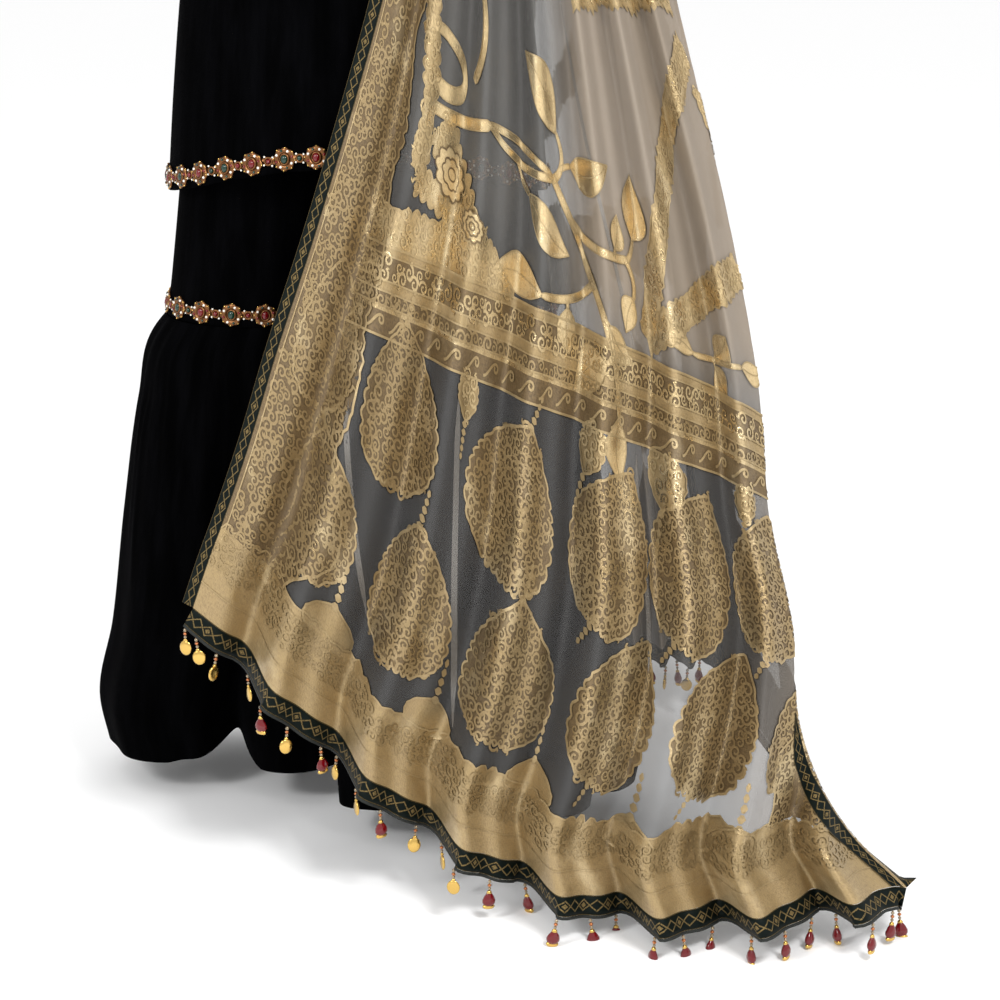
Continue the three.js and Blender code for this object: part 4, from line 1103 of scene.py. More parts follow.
def hang_pendants(base, way):
    for u, drop, lean, half in PENDANTS:
        start = float(band_line(np.array(u)))
        foot = (u, base + way * start)
        end = (u + lean, base + way * (start - drop))
        tail = (u + 2 * lean, base + way * (start - drop * (1 + TAIL_SHARE)))
        shape = leaf_shape(foot, end, half, 0.0, rows=15, columns=9, lobes=4, serration=0.22)
        figures.mat_ground.grid(shape)
        figures.bright_scroll.grid(leaf_shape(foot, end, half * 0.7, 0.0, rows=7, columns=5))
        figures.outline.ribbon(leaf_edge(shape)[8:], 0.0022)
        segmented_tip(figures.outline, end, tail, 0.0045, 5)


def lay_front_field():
    for foot_v, top_v, leaves in LEAF_ROWS:
        for u, lean, half, stalk in leaves:
            figures.leaf((u, foot_v), (u + lean, top_v), half, -LEAF_BEND if lean > 0 else LEAF_BEND, stalk)


def lay_border_tips():
    for k in range(TIP_COUNT):
        u = TIP_FIRST + TIP_STEP * k
        v = TIP_HIGH if k < TIP_COUNT // 2 + 1 else TIP_LOW
        shape = leaf_shape((u, v - 0.040), (u, v), 0.036, 0.0, rows=13, columns=9, lobes=5)
        figures.mat_ground.grid(shape)
        figures.outline.ribbon(leaf_edge(shape)[11:], 0.0022)
        segmented_tip(figures.outline, (u, v - 0.006), (u, v + TIP_REACH), 0.0058, 5)


def lay_back_field():
    """The back end of the cloth repeats the field of leaves."""
    for row, v in enumerate((0.165, 0.300)):
        for k in range(6):
            u = 0.175 + 0.150 * k + 0.03 * row
            foot, top = (u, FRONT_LENGTH - v + 0.06), (u - 0.02, FRONT_LENGTH - v - 0.06)
            if u < 0.93:
                figures.leaf(foot, top, 0.058, 0.05)


# ---- dupatta: vines of the upper field -------------------------------------------
# The cloth is gathered here, so a round figure is laid wider than it is long.
GATHERED = 2.1
# Each stem grows from a place on the cloth, or from a share of an earlier stem's length:
# name, root, heading and steady turn in degrees, length, width at root and tip, leaf length and half width.
STEMS = [
    ("hook", (0.10, 0.665), 65, -255, 0.115, 0.010, 0.018, 0, 0),
    ("down", (0.235, 0.765), -75, -35, 0.100, 0.011, 0.011, 0, 0),
    ("side", (0.12, 0.605), 15, 25, 0.078, 0.013, 0.011, 0, 0),
    ("eye above", ("side", 1.0), 28, -56, 0.072, 0.007, 0.008, 0, 0),
    ("eye below", ("side", 1.0), -28, 56, 0.072, 0.008, 0.008, 0, 0),
    ("bud", ("eye below", 0.45), -70, 30, 0.026, 0.008, 0.006, 0.050, 0.014),
    ("crown", ("eye above", 1.0), 45, 75, 0.050, 0.009, 0.007, 0.062, 0.018),
    ("fore leaf", ("crown", 0.35), 50, -20, 0.014, 0.006, 0.005, 0.052, 0.013),
    ("main", ("eye above", 1.0), -55, -32, 0.200, 0.013, 0.008, 0.056, 0.012),
    ("arm", ("main", 0.16), -35, 60, 0.062, 0.010, 0.008, 0, 0),
    ("arm up", ("arm", 1.0), 62, 20, 0.024, 0.007, 0.005, 0.066, 0.017),
    ("arm leaf", ("arm", 0.75), 80, 0, 0.008, 0.005, 0.005, 0.036, 0.009),
    ("arm down", ("arm", 0.95), -60, -45, 0.036, 0.008, 0.006, 0.036, 0.010),
    ("low arm", ("main", 0.42), -120, -45, 0.066, 0.009, 0.007, 0.050, 0.016),
    ("low leaf", ("low arm", 0.60), -85, 0, 0.008, 0.006, 0.005, 0.040, 0.011),
    ("main leaf", ("main", 0.55), -50, 0, 0.006, 0.005, 0.005, 0.034, 0.009),
    ("main back leaf", ("main", 0.72), -125, 0, 0.010, 0.006, 0.005, 0.048, 0.014),
    ("sprig", (0.70, 0.545), 5, 10, 0.045, 0.006, 0.005, 0.026, 0.010),
    ("sprig up", ("sprig", 0.45), 65, 0, 0.006, 0.005, 0.004, 0.028, 0.010),
    ("sprig down", ("sprig", 0.40), -70, 0, 0.006, 0.005, 0.004, 0.026, 0.010),
    ("sprig back", ("sprig", 0.0), 170, 0, 0.004, 0.005, 0.004, 0.028, 0.010),
]
# Serrated bands of the large figures: from and to (u, v), bow to one side, width and depth of teeth.
SERRATED = [
    ((0.50, 0.85), (0.84, 0.94), 0.000, 0.056, 0.008), ((0.60, 0.54), (0.85, 0.88), 0.030, 0.034, 0.004),
    ((0.60, 0.54), (0.84, 0.66), 0.000, 0.034, 0.004), ((0.85, 0.84), (0.89, 0.70), 0.010, 0.020, 0.005),
    ((0.11, 0.70), (0.13, 0.54), 0.010, 0.030, 0.006), ((0.13, 0.535), (0.27, 0.535), 0.000, 0.030, 0.006),
    ((0.16, 0.60), (0.24, 0.53), 0.000, 0.058, 0.008),
]
ROSETTES = [(0.19, 0.565, 0.024), (0.245, 0.54, 0.014)]


def bowed(start, end, bow, count=64):
    """A line from start to end that bows out to one side."""
    start, end = np.asarray(start, float), np.asarray(end, float)
    share = np.linspace(0, 1, count)[:, None]
    way = unit((end - start)[None])[0]
    return start + (end - start) * share + np.array([-way[1], way[0]]) * bow * np.sin(np.pi * share)


def stem_line(root, heading, turn, length, count=44):
    """A stem that turns steadily as it grows; also the heading of its tip."""
    angles = np.radians(heading + turn * np.linspace(0, 1, count - 1))
    steps = np.stack([np.cos(angles) * GATHERED, np.sin(angles)], -1) * length / (count - 1)
    return np.concatenate([[root], root + np.cumsum(steps, axis=0)]), math.radians(heading + turn)


def serrated_band(line, wide, teeth):
    tangent = unit(np.gradient(line, axis=0))
    side = np.stack([-tangent[:, 1], tangent[:, 0]], -1)
    reach = lengths_of(line)
    near = line + side * (wide / 2 - teeth + edge_teeth(reach, 0.015, teeth, 0.4))[:, None]
    far = line - side * (wide / 2 - teeth + edge_teeth(reach + 0.006, 0.015, teeth, 0.4))[:, None]
    strip_between(figures.light_ground, near, far, 7)
    strip_between(figures.bright_scroll, line + side * wide * 0.3, line - side * wide * 0.3, 3)
    figures.outline.ribbon(near, 0.0018)
    figures.outline.ribbon(far, 0.0018)


def vine_stem(line, start, end):
    share = np.linspace(0, 1, len(line))
    wide = (start + (end - start) * share) * np.minimum(1, (1 - share) * 10 + 0.5)
    figures.vine.ribbon(line, wide)
    tangent = unit(np.gradient(line, axis=0))
    side = np.stack([-tangent[:, 1], tangent[:, 0]], -1)
    for way in (-0.45, 0.45):
        figures.outline.ribbon(line + side * (wide * way)[:, None], 0.0011)


def vine_leaf(foot, top, half):
    shape = leaf_shape(foot, top, half, 0.10, rows=17, columns=9, lobes=1, serration=0.0,
                       outline=VINE_ROUND)
    figures.vine.grid(shape)
    figures.outline.ribbon(leaf_edge(shape), 0.0014, closed=True)
    figures.outline.ribbon(shape[1:-1, 4], 0.0012)


def rosette(u, v, radius):
    turn = np.linspace(0, 2 * np.pi, 61)[:-1]
    middle = np.array([u, v])
    round_line = np.stack([np.cos(turn) * 1.35, np.sin(turn)], -1)
    for share, petals in ((1.0, 10), (0.60, 8)):
        reach = radius * share * (0.84 + 0.16 * np.abs(np.cos(petals / 2 * turn)))
        ring = middle + reach[:, None] * round_line
        if share == 1.0:
            fill = middle + np.linspace(0.02, 1, 6)[:, None, None] * (ring - middle)
            figures.rosette.grid(np.concatenate([fill, fill[:, :1]], axis=1))
        figures.rosette_line.ribbon(ring, 0.0018, closed=True)
    figures.rosette_line.ribbon(middle + radius * 0.24 * round_line[::4], 0.0016, closed=True)


def lay_vines(shift=0.0, mirror=False):
    """The vines and the large serrated figures, also repeated further along the cloth."""
    def put(points):
        points = np.array(points, float) + [0.0, shift]
        return np.stack([1.0 - points[..., 0], points[..., 1]], -1) if mirror else points

    grown_stems = {}
    for name, root, heading, turn, length, start, end, leaf_long, leaf_half in STEMS:
        if isinstance(root[0], str):
            parent = grown_stems[root[0]]
            root = parent[int(round(root[1] * (len(parent) - 1)))]
        line, tip_way = stem_line(np.asarray(root, float), heading, turn, length)
        grown_stems[name] = line
        vine_stem(put(line), start, end)
        if leaf_long > 0:
            top = line[-1] + np.array([math.cos(tip_way) * GATHERED, math.sin(tip_way)]) * leaf_long
            vine_leaf(put(line[-1]), put(top),
                      leaf_half * (1 + abs(math.sin(tip_way)) * (GATHERED - 1) * 0.6))
    for start, end, bow, wide, teeth in SERRATED:
        serrated_band(put(bowed(start, end, bow)), wide, teeth)
    for u, v, radius in ROSETTES:
        rosette(*put((u, v)), radius)


for end, way in ((0.0, 1), (FRONT_LENGTH, -1)):
    lay_hem_border(end, way)
    cross_bands(end, way)
    hang_pendants(end, way)
lay_side_borders()
lay_front_field()
lay_border_tips()
lay_back_field()
lay_vines()
lay_vines(0.42, True)
lay_vines(0.86)
lay_vines(1.26, True)

# ---- filigree: curls scattered over the figures --------------------------------
def curl_mesh(name, turns=1.3, reach=0.0066, wide=0.0013, steps=15):
    """One flat spiral curl with a short tail."""
    share = np.linspace(0, 1, steps)
    turn = share * turns * 2 * np.pi
    radius = reach * (0.16 + 0.84 * share)
    line = radius[:, None] * np.stack([np.cos(turn), np.sin(turn)], -1)
    tail = line[-1] + np.array([[0.0006, 0.0018], [0.0024, 0.0036]])
    line = np.concatenate([line, tail])
    flat = Flat()
    flat.ribbon(line, wide * np.concatenate([np.linspace(0.7, 1.15, steps), [0.9, 0.3]]))
    points = flat.flat()
    mesh = bpy.data.meshes.new(name)
    mesh.from_pydata(np.column_stack([points, np.zeros(len(points))]).tolist(), [], flat.faces)
    obj = bpy.data.objects.new(name, mesh)
    return obj


def scatter_tree():
    """Scatters a motif over flat figures, never two nearer than a spacing, each turned its own way."""
    tree = bpy.data.node_groups.new("scatter motif", "GeometryNodeTree")
    tree.interface.new_socket("Figures", in_out="INPUT", socket_type="NodeSocketGeometry")
    wanted = (("Motif", "NodeSocketObject", None), ("Spacing", "NodeSocketFloat", 0.012),
              ("Density", "NodeSocketFloat", 9000.0),
              ("Smallest", "NodeSocketFloat", 0.7), ("Largest", "NodeSocketFloat", 1.1),
              ("Seed", "NodeSocketInt", 7),
              ("Cloth", "NodeSocketMaterial", None))
    for label, kind, value in wanted:
        socket = tree.interface.new_socket(label, in_out="INPUT", socket_type=kind)
        if value is not None:
            socket.default_value = value
    tree.interface.new_socket("Geometry", in_out="OUTPUT", socket_type="NodeSocketGeometry")
    made = Tree(tree)
    given, result = made.add("NodeGroupInput").outputs, made.add("NodeGroupOutput").inputs
    spread = made.add("GeometryNodeDistributePointsOnFaces", distribute_method="POISSON")
    made.join(given["Figures"], spread.inputs["Mesh"])
    made.join(given["Spacing"], spread.inputs["Distance Min"])
    made.join(given["Density"], spread.inputs["Density Max"])
    made.join(given["Seed"], spread.inputs["Seed"])
    motif = made.add("GeometryNodeObjectInfo")
    made.join(given["Motif"], motif.inputs["Object"])
    turn = made.add("FunctionNodeRandomValue", data_type="FLOAT_VECTOR")
    turn.inputs["Min"].default_value = (0, 0, 0)
    turn.inputs["Max"].default_value = (0, 0, 2 * math.pi)
    made.join(given["Seed"], turn.inputs["Seed"])
    size = made.add("FunctionNodeRandomValue", data_type="FLOAT")
    made.join(given["Smallest"], size.inputs[2])
    made.join(given["Largest"], size.inputs[3])
    made.join(given["Seed"], size.inputs["Seed"])
    put = made.add("GeometryNodeInstanceOnPoints")
    made.join(spread.outputs["Points"], put.inputs["Points"])
    made.join(motif.outputs["Geometry"], put.inputs["Instance"])
    made.join(turn.outputs[0], put.inputs["Rotation"])
    made.join(size.outputs[1], put.inputs["Scale"])
    whole = made.add("GeometryNodeRealizeInstances")
    made.join(put.outputs[0], whole.inputs[0])
    cloth_of = made.add("GeometryNodeSetMaterial")
    made.join(whole.outputs[0], cloth_of.inputs["Geometry"])
    made.join(given["Cloth"], cloth_of.inputs["Material"])
    made.join(cloth_of.outputs[0], result["Geometry"])
    return tree


def arrange_tree():
    """Sets a small piece on each point, by the point's own turn and size."""
    tree = bpy.data.node_groups.new("arrange pieces", "GeometryNodeTree")
    tree.interface.new_socket("Places", in_out="INPUT", socket_type="NodeSocketGeometry")
    for label, kind in (("Piece", "NodeSocketObject"), ("Finish", "NodeSocketMaterial")):
        tree.interface.new_socket(label, in_out="INPUT", socket_type=kind)
    tree.interface.new_socket("Geometry", in_out="OUTPUT", socket_type="NodeSocketGeometry")
    made = Tree(tree)
    given, result = made.add("NodeGroupInput").outputs, made.add("NodeGroupOutput").inputs
    shape = made.add("GeometryNodeObjectInfo")
    made.join(given["Piece"], shape.inputs["Object"])
    turn = made.add("GeometryNodeInputNamedAttribute", data_type="FLOAT_VECTOR")
    turn.inputs["Name"].default_value = "turn"
    size = made.add("GeometryNodeInputNamedAttribute", data_type="FLOAT_VECTOR")
    size.inputs["Name"].default_value = "size"
    angle = made.add("FunctionNodeEulerToRotation")
    made.join(turn.outputs["Attribute"], angle.inputs[0])
    put = made.add("GeometryNodeInstanceOnPoints")
    made.join(given["Places"], put.inputs["Points"])
    made.join(shape.outputs["Geometry"], put.inputs["Instance"])
    made.join(angle.outputs[0], put.inputs["Rotation"])
    made.join(size.outputs["Attribute"], put.inputs["Scale"])
    whole = made.add("GeometryNodeRealizeInstances")
    made.join(put.outputs[0], whole.inputs[0])
    finish = made.add("GeometryNodeSetMaterial")
    made.join(whole.outputs[0], finish.inputs["Geometry"])
    made.join(given["Finish"], finish.inputs["Material"])
    made.join(finish.outputs[0], result["Geometry"])
    return tree


SCATTER = scatter_tree()
ARRANGE = arrange_tree()


def grown(name, base, tree, **values):
    """The plain mesh that a node tree makes on a base mesh."""
    holder = bpy.data.objects.new(name + "_base", base)
    bpy.context.scene.collection.objects.link(holder)
    modifier = holder.modifiers.new("grow", "NODES")
    modifier.node_group = tree
    sockets = {item.name: item.identifier for item in tree.interface.items_tree if item.in_out == "INPUT"}
    for label, value in values.items():
        modifier[sockets[label]] = value
    bpy.context.view_layer.update()
    seen = holder.evaluated_get(bpy.context.evaluated_depsgraph_get())
    mesh = bpy.data.meshes.new_from_object(seen)
    mesh.name = name
    bpy.data.objects.remove(holder)
    return mesh


def link_hidden(obj):
    bpy.context.scene.collection.objects.link(obj)
    return obj


def lay_filigree(name, figures_flat, spacing, seed, material, lift, wide=0.0013, reach=0.0066,
                 size=(0.7, 1.1), part=None):
    """Curls over flat figures, then worn with the cloth."""
    points = figures_flat.flat()
    faces = figures_flat.faces
    if part is not None:
        faces = [f for f in faces if part(points[f[0]])]
    base = bpy.data.meshes.new(name)
    base.from_pydata(np.column_stack([points, np.zeros(len(points))]).tolist(), [], faces)
    curl = link_hidden(curl_mesh(name + "_curl", wide=wide, reach=reach))
    mesh = grown(name, base, SCATTER, Motif=curl, Spacing=spacing, Density=60000.0, Smallest=size[0],
                 Largest=size[1], Seed=seed, Cloth=material)
    bpy.data.objects.remove(curl)
    flat = np.empty(len(mesh.vertices) * 3)
    mesh.vertices.foreach_get("co", flat)
    flat = flat.reshape(-1, 3)
    corners = np.empty(len(mesh.loops), int)
    mesh.loops.foreach_get("vertex_index", corners)
    layer = mesh.uv_layers.get("flat") or mesh.uv_layers.new(name="flat")
    layer.data.foreach_set("uv", flat[corners][:, :2].ravel())
    worn = cloth.drape(flat[:, 0], flat[:, 1], lift)
    mesh.vertices.foreach_set("co", worn.ravel())
    mesh.polygons.foreach_set("use_smooth", [True] * len(mesh.polygons))
    mesh.update()
    obj = bpy.data.objects.new(name, mesh)
    bpy.context.scene.collection.objects.link(obj)
    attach(obj, "root")
    return obj


# Where the net lies double in a narrow fold: from and to (u, v), bow, and the width of the fold.
NET_FOLDS = [((0.20, 0.14), (0.09, 0.34), 0.010, 0.008), ((0.35, 0.11), (0.265, 0.40), 0.012, 0.009),
             ((0.61, 0.21), (0.58, 0.43), 0.008, 0.007), ((0.57, 0.53), (0.47, 0.82), 0.010, 0.008)]


def lay_net_folds():
    folds = Flat()
    for start, end, bow, wide in NET_FOLDS:
        share = np.linspace(0, 1, 60)
        folds.ribbon(bowed(start, end, bow, 60),
                     wide * np.minimum(1, 6 * np.minimum(share, 1 - share) + 0.15))
    return folds.hang("net_folds", 0.0005, NET_DOUBLE)


dupatta = lay_net()
NET_FIGURES = {
    "brocade_mat_grounds": (figures.mat_ground, 0.0006, BROCADE_MAT),
    "brocade_grounds": (figures.ground, 0.0008, BROCADE_SHADED_GROUND),
    "brocade_light_grounds": (figures.light_ground, 0.0009, BROCADE_LIGHT),
    "brocade_vines": (figures.vine, 0.0012, VINE_GOLD),
    "brocade_outlines": (figures.outline, 0.0015, BROCADE_LINE),
    "brocade_rosettes": (figures.rosette, 0.0020, VINE_GOLD),
    "rosette_lines": (figures.rosette_line, 0.0024, BROCADE_SHADED_GROUND),
}
worn_figures = [lay_net_folds()]
worn_figures += [flat.hang(name, lift, material) for name, (flat, lift, material) in NET_FIGURES.items()]
near = lambda p: p[1] < 0.62
far = lambda p: p[1] >= 0.62
worn_figures.append(lay_filigree("brocade_curls_front", figures.scroll_ground, 0.0084, 11, FILIGREE, 0.0015,
                                 wide=0.0027, reach=0.0074, part=near))
worn_figures.append(lay_filigree("brocade_curls_upper", figures.scroll_ground, 0.0135, 12, FILIGREE, 0.0015,
                                 wide=0.0030, reach=0.0088, part=far))
worn_figures.append(lay_filigree("brocade_curls_bright", figures.bright_scroll, 0.0110, 13, BROCADE_GLINT,
                                 0.0015,
                                 wide=0.0026, reach=0.0076))


# ---- dupatta: trims ---------------------------------------------------------------
TRIM_WIDE = 0.020
TRIM_THICK = 0.0011
TRIM_GAP = 0.0003


def trim_material():
    """Green ribbon with a gold zigzag, lozenges between its turns and gold edges."""
    material, made, shader = new_material("zigzag trim")
    uv = made.add("ShaderNodeUVMap", uv_map="flat")
    parts = made.add("ShaderNodeSeparateXYZ")
    made.join(uv.outputs[0], parts.inputs[0])
    along, across = parts.outputs[0], parts.outputs[1]
    cycle = made.sum("FRACT", made.sum("DIVIDE", along, 0.0275))
    ramp = made.sum("ABSOLUTE", made.sum("SUBTRACT", made.sum("MULTIPLY", cycle, 2.0), 1.0))
    height = made.sum("ADD", made.sum("MULTIPLY", ramp, 0.56), 0.22)
    apart = made.sum("ABSOLUTE", made.sum("SUBTRACT", across, height))
    zigzag = made.sum("SUBTRACT", 1.0, made.band(apart, 0.025, 0.060))
    mirror = made.sum("ABSOLUTE", made.sum("SUBTRACT", across, made.sum("SUBTRACT", 1.0, height)))
    other = made.sum("SUBTRACT", 1.0, made.band(mirror, 0.025, 0.060))
    edge = made.band(made.sum("ABSOLUTE", made.sum("SUBTRACT", across, 0.5)), 0.455, 0.475)
    middle = made.sum("ADD", made.sum("ABSOLUTE", made.sum("MULTIPLY", made.sum("SUBTRACT", ramp, 1.0), 1.4)),
                      made.sum("ABSOLUTE", made.sum("MULTIPLY", made.sum("SUBTRACT", across, 0.5), 2.2)))
    block = made.sum("SUBTRACT", 1.0, made.band(middle, 0.28, 0.36))
    gold = made.sum("MAXIMUM", made.sum("MAXIMUM", zigzag, other),
                    made.sum("MAXIMUM", made.sum("MULTIPLY", edge, 0.55), block))
    thread = made.noise(made.stretch(uv.outputs[0], 1500, 14), 1.0, 2.0)
    gold = made.sum("MULTIPLY", gold, made.band(thread, 0.30, 0.52))
    colour = made.mix(gold, (0.0008, 0.0034, 0.0024, 1), (0.21, 0.150, 0.062, 1))
    made.join(colour, shader.inputs["Base Color"])
    made.join(made.sum("MULTIPLY", gold, 0.6), shader.inputs["Metallic"])
    shader.inputs["Roughness"].default_value = 0.6
    shader.inputs["Specular IOR Level"].default_value = 0.12
    relief(made, shader, gold, 0.0006)
    return material


ZIGZAG = trim_material()


def off_edge(points, beside):
    """The way off the cloth's edge, square to it."""
    along = unit(np.gradient(points, axis=0))
    away = points - beside
    return unit(away - along * np.sum(away * along, axis=1, keepdims=True))


def sew_trim(name, points, beside, normals, wide, node):
    away = off_edge(points, beside)
    steps = np.linspace(TRIM_GAP, TRIM_GAP + wide, 5)[:, None, None]
    grid = points[None] + away[None] * steps + normals[None] * TRIM_THICK / 2
    inner = grid - normals[None] * TRIM_THICK
    along = lengths_of(points)
    uv = np.stack(np.meshgrid(along, np.linspace(0, 1, 5)), -1)
    obj = cloth_shell(name, grid, TRIM_THICK, uv, ZIGZAG, inner=inner)
    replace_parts(obj, node)
    return grid[-1] - normals * TRIM_THICK / 2, away


def edge_lines(kind, low, high):
    """Points, points beside them and face normals along an edge of the cloth."""
    count = int(abs(high - low) / 0.004) + 2
    along = np.linspace(low, high, count)
    step = 0.004
    if kind == "inner":
        at, by = (np.zeros(count), along), (np.full(count, step), along)
    elif kind == "outer":
        at, by = (np.full(count, DUPATTA_WIDE), along), (np.full(count, DUPATTA_WIDE - step), along)
    elif kind == "front hem":
        at, by = (along, np.zeros(count)), (along, np.full(count, step))
    else:
        at, by = (along, np.full(count, 9.0)), (along, None)
    if by[1] is None:
        row = FINE_ROWS - 1
        points = np.stack([np.interp(along, cloth.a, cloth.points[row, :, k]) for k in range(3)], -1)
        beside = np.stack([np.interp(along, cloth.a, cloth.points[row - 2, :, k]) for k in range(3)], -1)
        normals = unit(np.stack([np.interp(along, cloth.a, cloth.normals[row, :, k]) for k in range(3)], -1))
        return points, beside, normals
    normals = unit(cloth.look_up(cloth.normals, *at))
    return cloth.drape(*at), cloth.drape(*by), normals


shoulder_left = float(cloth.v[int(FINE_ROWS * 12 / 21), 0])
shoulder_right = float(cloth.v[int(FINE_ROWS * 12 / 21), -1])
back_left = float(cloth.v[int(FINE_ROWS * 14 / 21), 0])
back_right = float(cloth.v[int(FINE_ROWS * 14 / 21), -1])
sew_trim("trim_front_inner_ribbon", *edge_lines("inner", 0.0, shoulder_left), TRIM_WIDE * 0.7,
         "trim_front_inner")
sew_trim("trim_front_outer_ribbon", *edge_lines("outer", 0.0, shoulder_right), TRIM_WIDE * 0.7,
         "trim_front_outer")
sew_trim("trim_back_inner_ribbon", *edge_lines("inner", back_left, float(cloth.v[-1, 0])), TRIM_WIDE * 0.7,
         "trim_back_inner")
sew_trim("trim_back_outer_ribbon", *edge_lines("outer", back_right, float(cloth.v[-1, -1])),
         TRIM_WIDE * 0.7, "trim_back_outer")
FRONT_EDGE = sew_trim("trim_front_lower_ribbon", *edge_lines("front hem", 0.0, DUPATTA_WIDE), TRIM_WIDE,
                      "trim_front_lower")
BACK_EDGE = sew_trim("trim_back_lower_ribbon", *edge_lines("back hem", 0.0, DUPATTA_WIDE), TRIM_WIDE,
                     "trim_back_lower")


# The outer trim also shows on the face, along the turn of the corner.
FACING_HIGH = 0.215
FACING_WIDE = 0.019
FACING_IN = 0.003


def sew_facing():
    v = np.linspace(0.001, FACING_HIGH, 70)
    turn = np.interp(v, cloth.runs[1], cloth.turn)
    line = np.stack([DUPATTA_WIDE * (1 - turn) - FACING_IN, v], -1)
    tangent = unit(np.gradient(line, axis=0))
    inward = np.stack([-tangent[:, 1], tangent[:, 0]], -1)
    inward *= np.where(inward[:, :1] > 0, -1, 1)
    reach = np.linspace(0, 1, 5)
    narrow = np.clip((1 - np.linspace(0, 1, 70)) * 5, 0, 1)
    flat = line[None] + inward[None] * (reach[:, None] * narrow[None] * FACING_WIDE)[..., None]
    grid = cloth.drape(flat[..., 0], flat[..., 1], 0.0020)
    uv = np.stack(np.meshgrid(lengths_of(line), reach), -1)
    cells = grid_cells(5, 70)
    obj = piece_from("trim_front_outer_facing", grid.reshape(-1, 3), cells[..., 0] * 70 + cells[..., 1],
                     [uv[cells[..., 0], cells[..., 1]]], ZIGZAG)
    return obj


sew_facing()


# ---- small pieces that repeat -------------------------------------------------------
def solid_of(name, points, faces):
    mesh = bpy.data.meshes.new(name)
    mesh.from_pydata(np.asarray(points).tolist(), [], [list(map(int, f)) for f in faces])
    mesh.polygons.foreach_set("use_smooth", [True] * len(mesh.polygons))
    return mesh


def turned(name, profile, sides, depth=1.0):
    """A round piece from a profile of (radius, height) in mm, closed at both ends, flattened by depth."""
    turn = np.linspace(0, 2 * np.pi, sides + 1)[:-1]
    rings = [np.stack([r * np.cos(turn), r * np.sin(turn) * depth, np.full(sides, h)], -1) for r,
             h in profile]
    points = [ring * MM for ring in rings]
    number = np.arange(len(profile) * sides).reshape(len(profile), sides)
    faces = []
    for low, high in zip(number[:-1], number[1:]):
        faces += np.stack([low, np.roll(low, -1), np.roll(high, -1), high], -1).tolist()
    faces.append(number[0][::-1].tolist())
    faces.append(number[-1].tolist())
    return solid_of(name, np.concatenate(points), faces)


def scalloped_ring(name, outer, inner, high, lobes, sides=30):
    """A raised ring with a lobed rim, lying in its own x and y."""
    turn = np.linspace(0, 2 * np.pi, sides + 1)[:-1]
    lobed = outer * (1 + 0.075 * np.cos(lobes * turn))
    profile = [(lobed, 0), (lobed * 0.97, high * 0.7), ((lobed + inner) / 2, high),
               (np.full(sides, inner * 1.04), high * 0.8),
               (np.full(sides, inner), 0.0)]
    points = np.concatenate([np.stack([r * np.cos(turn), r * np.sin(turn), np.full(sides, h)], -1) for r,
                             h in profile]) * MM
    number = np.arange(len(profile) * sides).reshape(len(profile), sides)
    faces = []
    for k in range(len(profile)):
        low, high_row = number[k], number[(k + 1) % len(profile)]
        faces += np.stack([low, np.roll(low, -1), np.roll(high_row, -1), high_row], -1).tolist()
    return solid_of(name, points, faces)


def arrange(name, piece, places, finish):
    """Sets one small piece at each place: (point, turn, size)."""
    base = bpy.data.meshes.new(name)
    base.from_pydata([tuple(p) for p, _, _ in places], [], [])
    turn = base.attributes.new("turn", "FLOAT_VECTOR", "POINT")
    turn.data.foreach_set("vector", np.array([t for _, t, _ in places], float).ravel())
    size = base.attributes.new("size", "FLOAT_VECTOR", "POINT")
    size.data.foreach_set("vector", np.array([np.broadcast_to(s, 3) for _, _, s in places], float).ravel())
    holder = link_hidden(bpy.data.objects.new(name + "_piece", piece))
    mesh = grown(name, base, ARRANGE, Piece=holder, Finish=finish)
    bpy.data.objects.remove(holder)
    if not mesh.materials:
        mesh.materials.append(finish)
    mesh.polygons.foreach_set("use_smooth", [True] * len(mesh.polygons))
    mesh.update()
    obj = bpy.data.objects.new(name, mesh)
    bpy.context.scene.collection.objects.link(obj)
    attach(obj, "root")
    return obj


def euler_of(across, up, out):
    return tuple(Matrix(np.stack([across, up, out], axis=1).tolist()).to_euler())


# ---- jewelled laces --------------------------------------------------------------------
LACE_PITCH = 0.035
LACE_HALF = 0.0125
LACE_LIFT = 0.0008
STONE_DOME = turned("stone", [(1.0, -0.2), (1.0, 0.35), (0.72, 0.8), (0.25, 1.0)], 8)
BEAD = turned("bead", [(0.35, -0.95), (0.85, -0.55), (1.0, 0), (0.85, 0.55), (0.35, 0.95)], 8)
MEDALLION_RING = scalloped_ring("medallion ring", 12.0, 5.6, 2.3, 8, 32)
CENTRE_RING = scalloped_ring("centre ring", 5.4, 3.6, 3.0, 1, 20)
LINK_RING = scalloped_ring("link ring", 4.9, 2.6, 2.0, 6, 18)


def lace_line(line, up, out, wraps):
    """Even places along a lace: point, way along, way up, way out, and whether a medallion sits there."""
    if wraps:
        line, up, out = (np.concatenate([k, k[:1]]) for k in (line, up, out))
    reach = lengths_of(line)
    pitches = max(1, round(reach[-1] / LACE_PITCH))
    halves = np.linspace(0, reach[-1], pitches * 2 + 1)
    if wraps:
        halves = halves[:-1]
    at = np.stack([np.interp(halves, reach, line[:, k]) for k in range(3)], -1)
    up_at = unit(np.stack([np.interp(halves, reach, up[:, k]) for k in range(3)], -1))
    out_at = unit(np.stack([np.interp(halves, reach, out[:, k]) for k in range(3)], -1))
    along = unit(np.cross(up_at, out_at))
    up_at = np.cross(out_at, along)
    return at + out_at * LACE_LIFT, along, up_at, out_at, np.arange(len(halves)) % 2 == 0


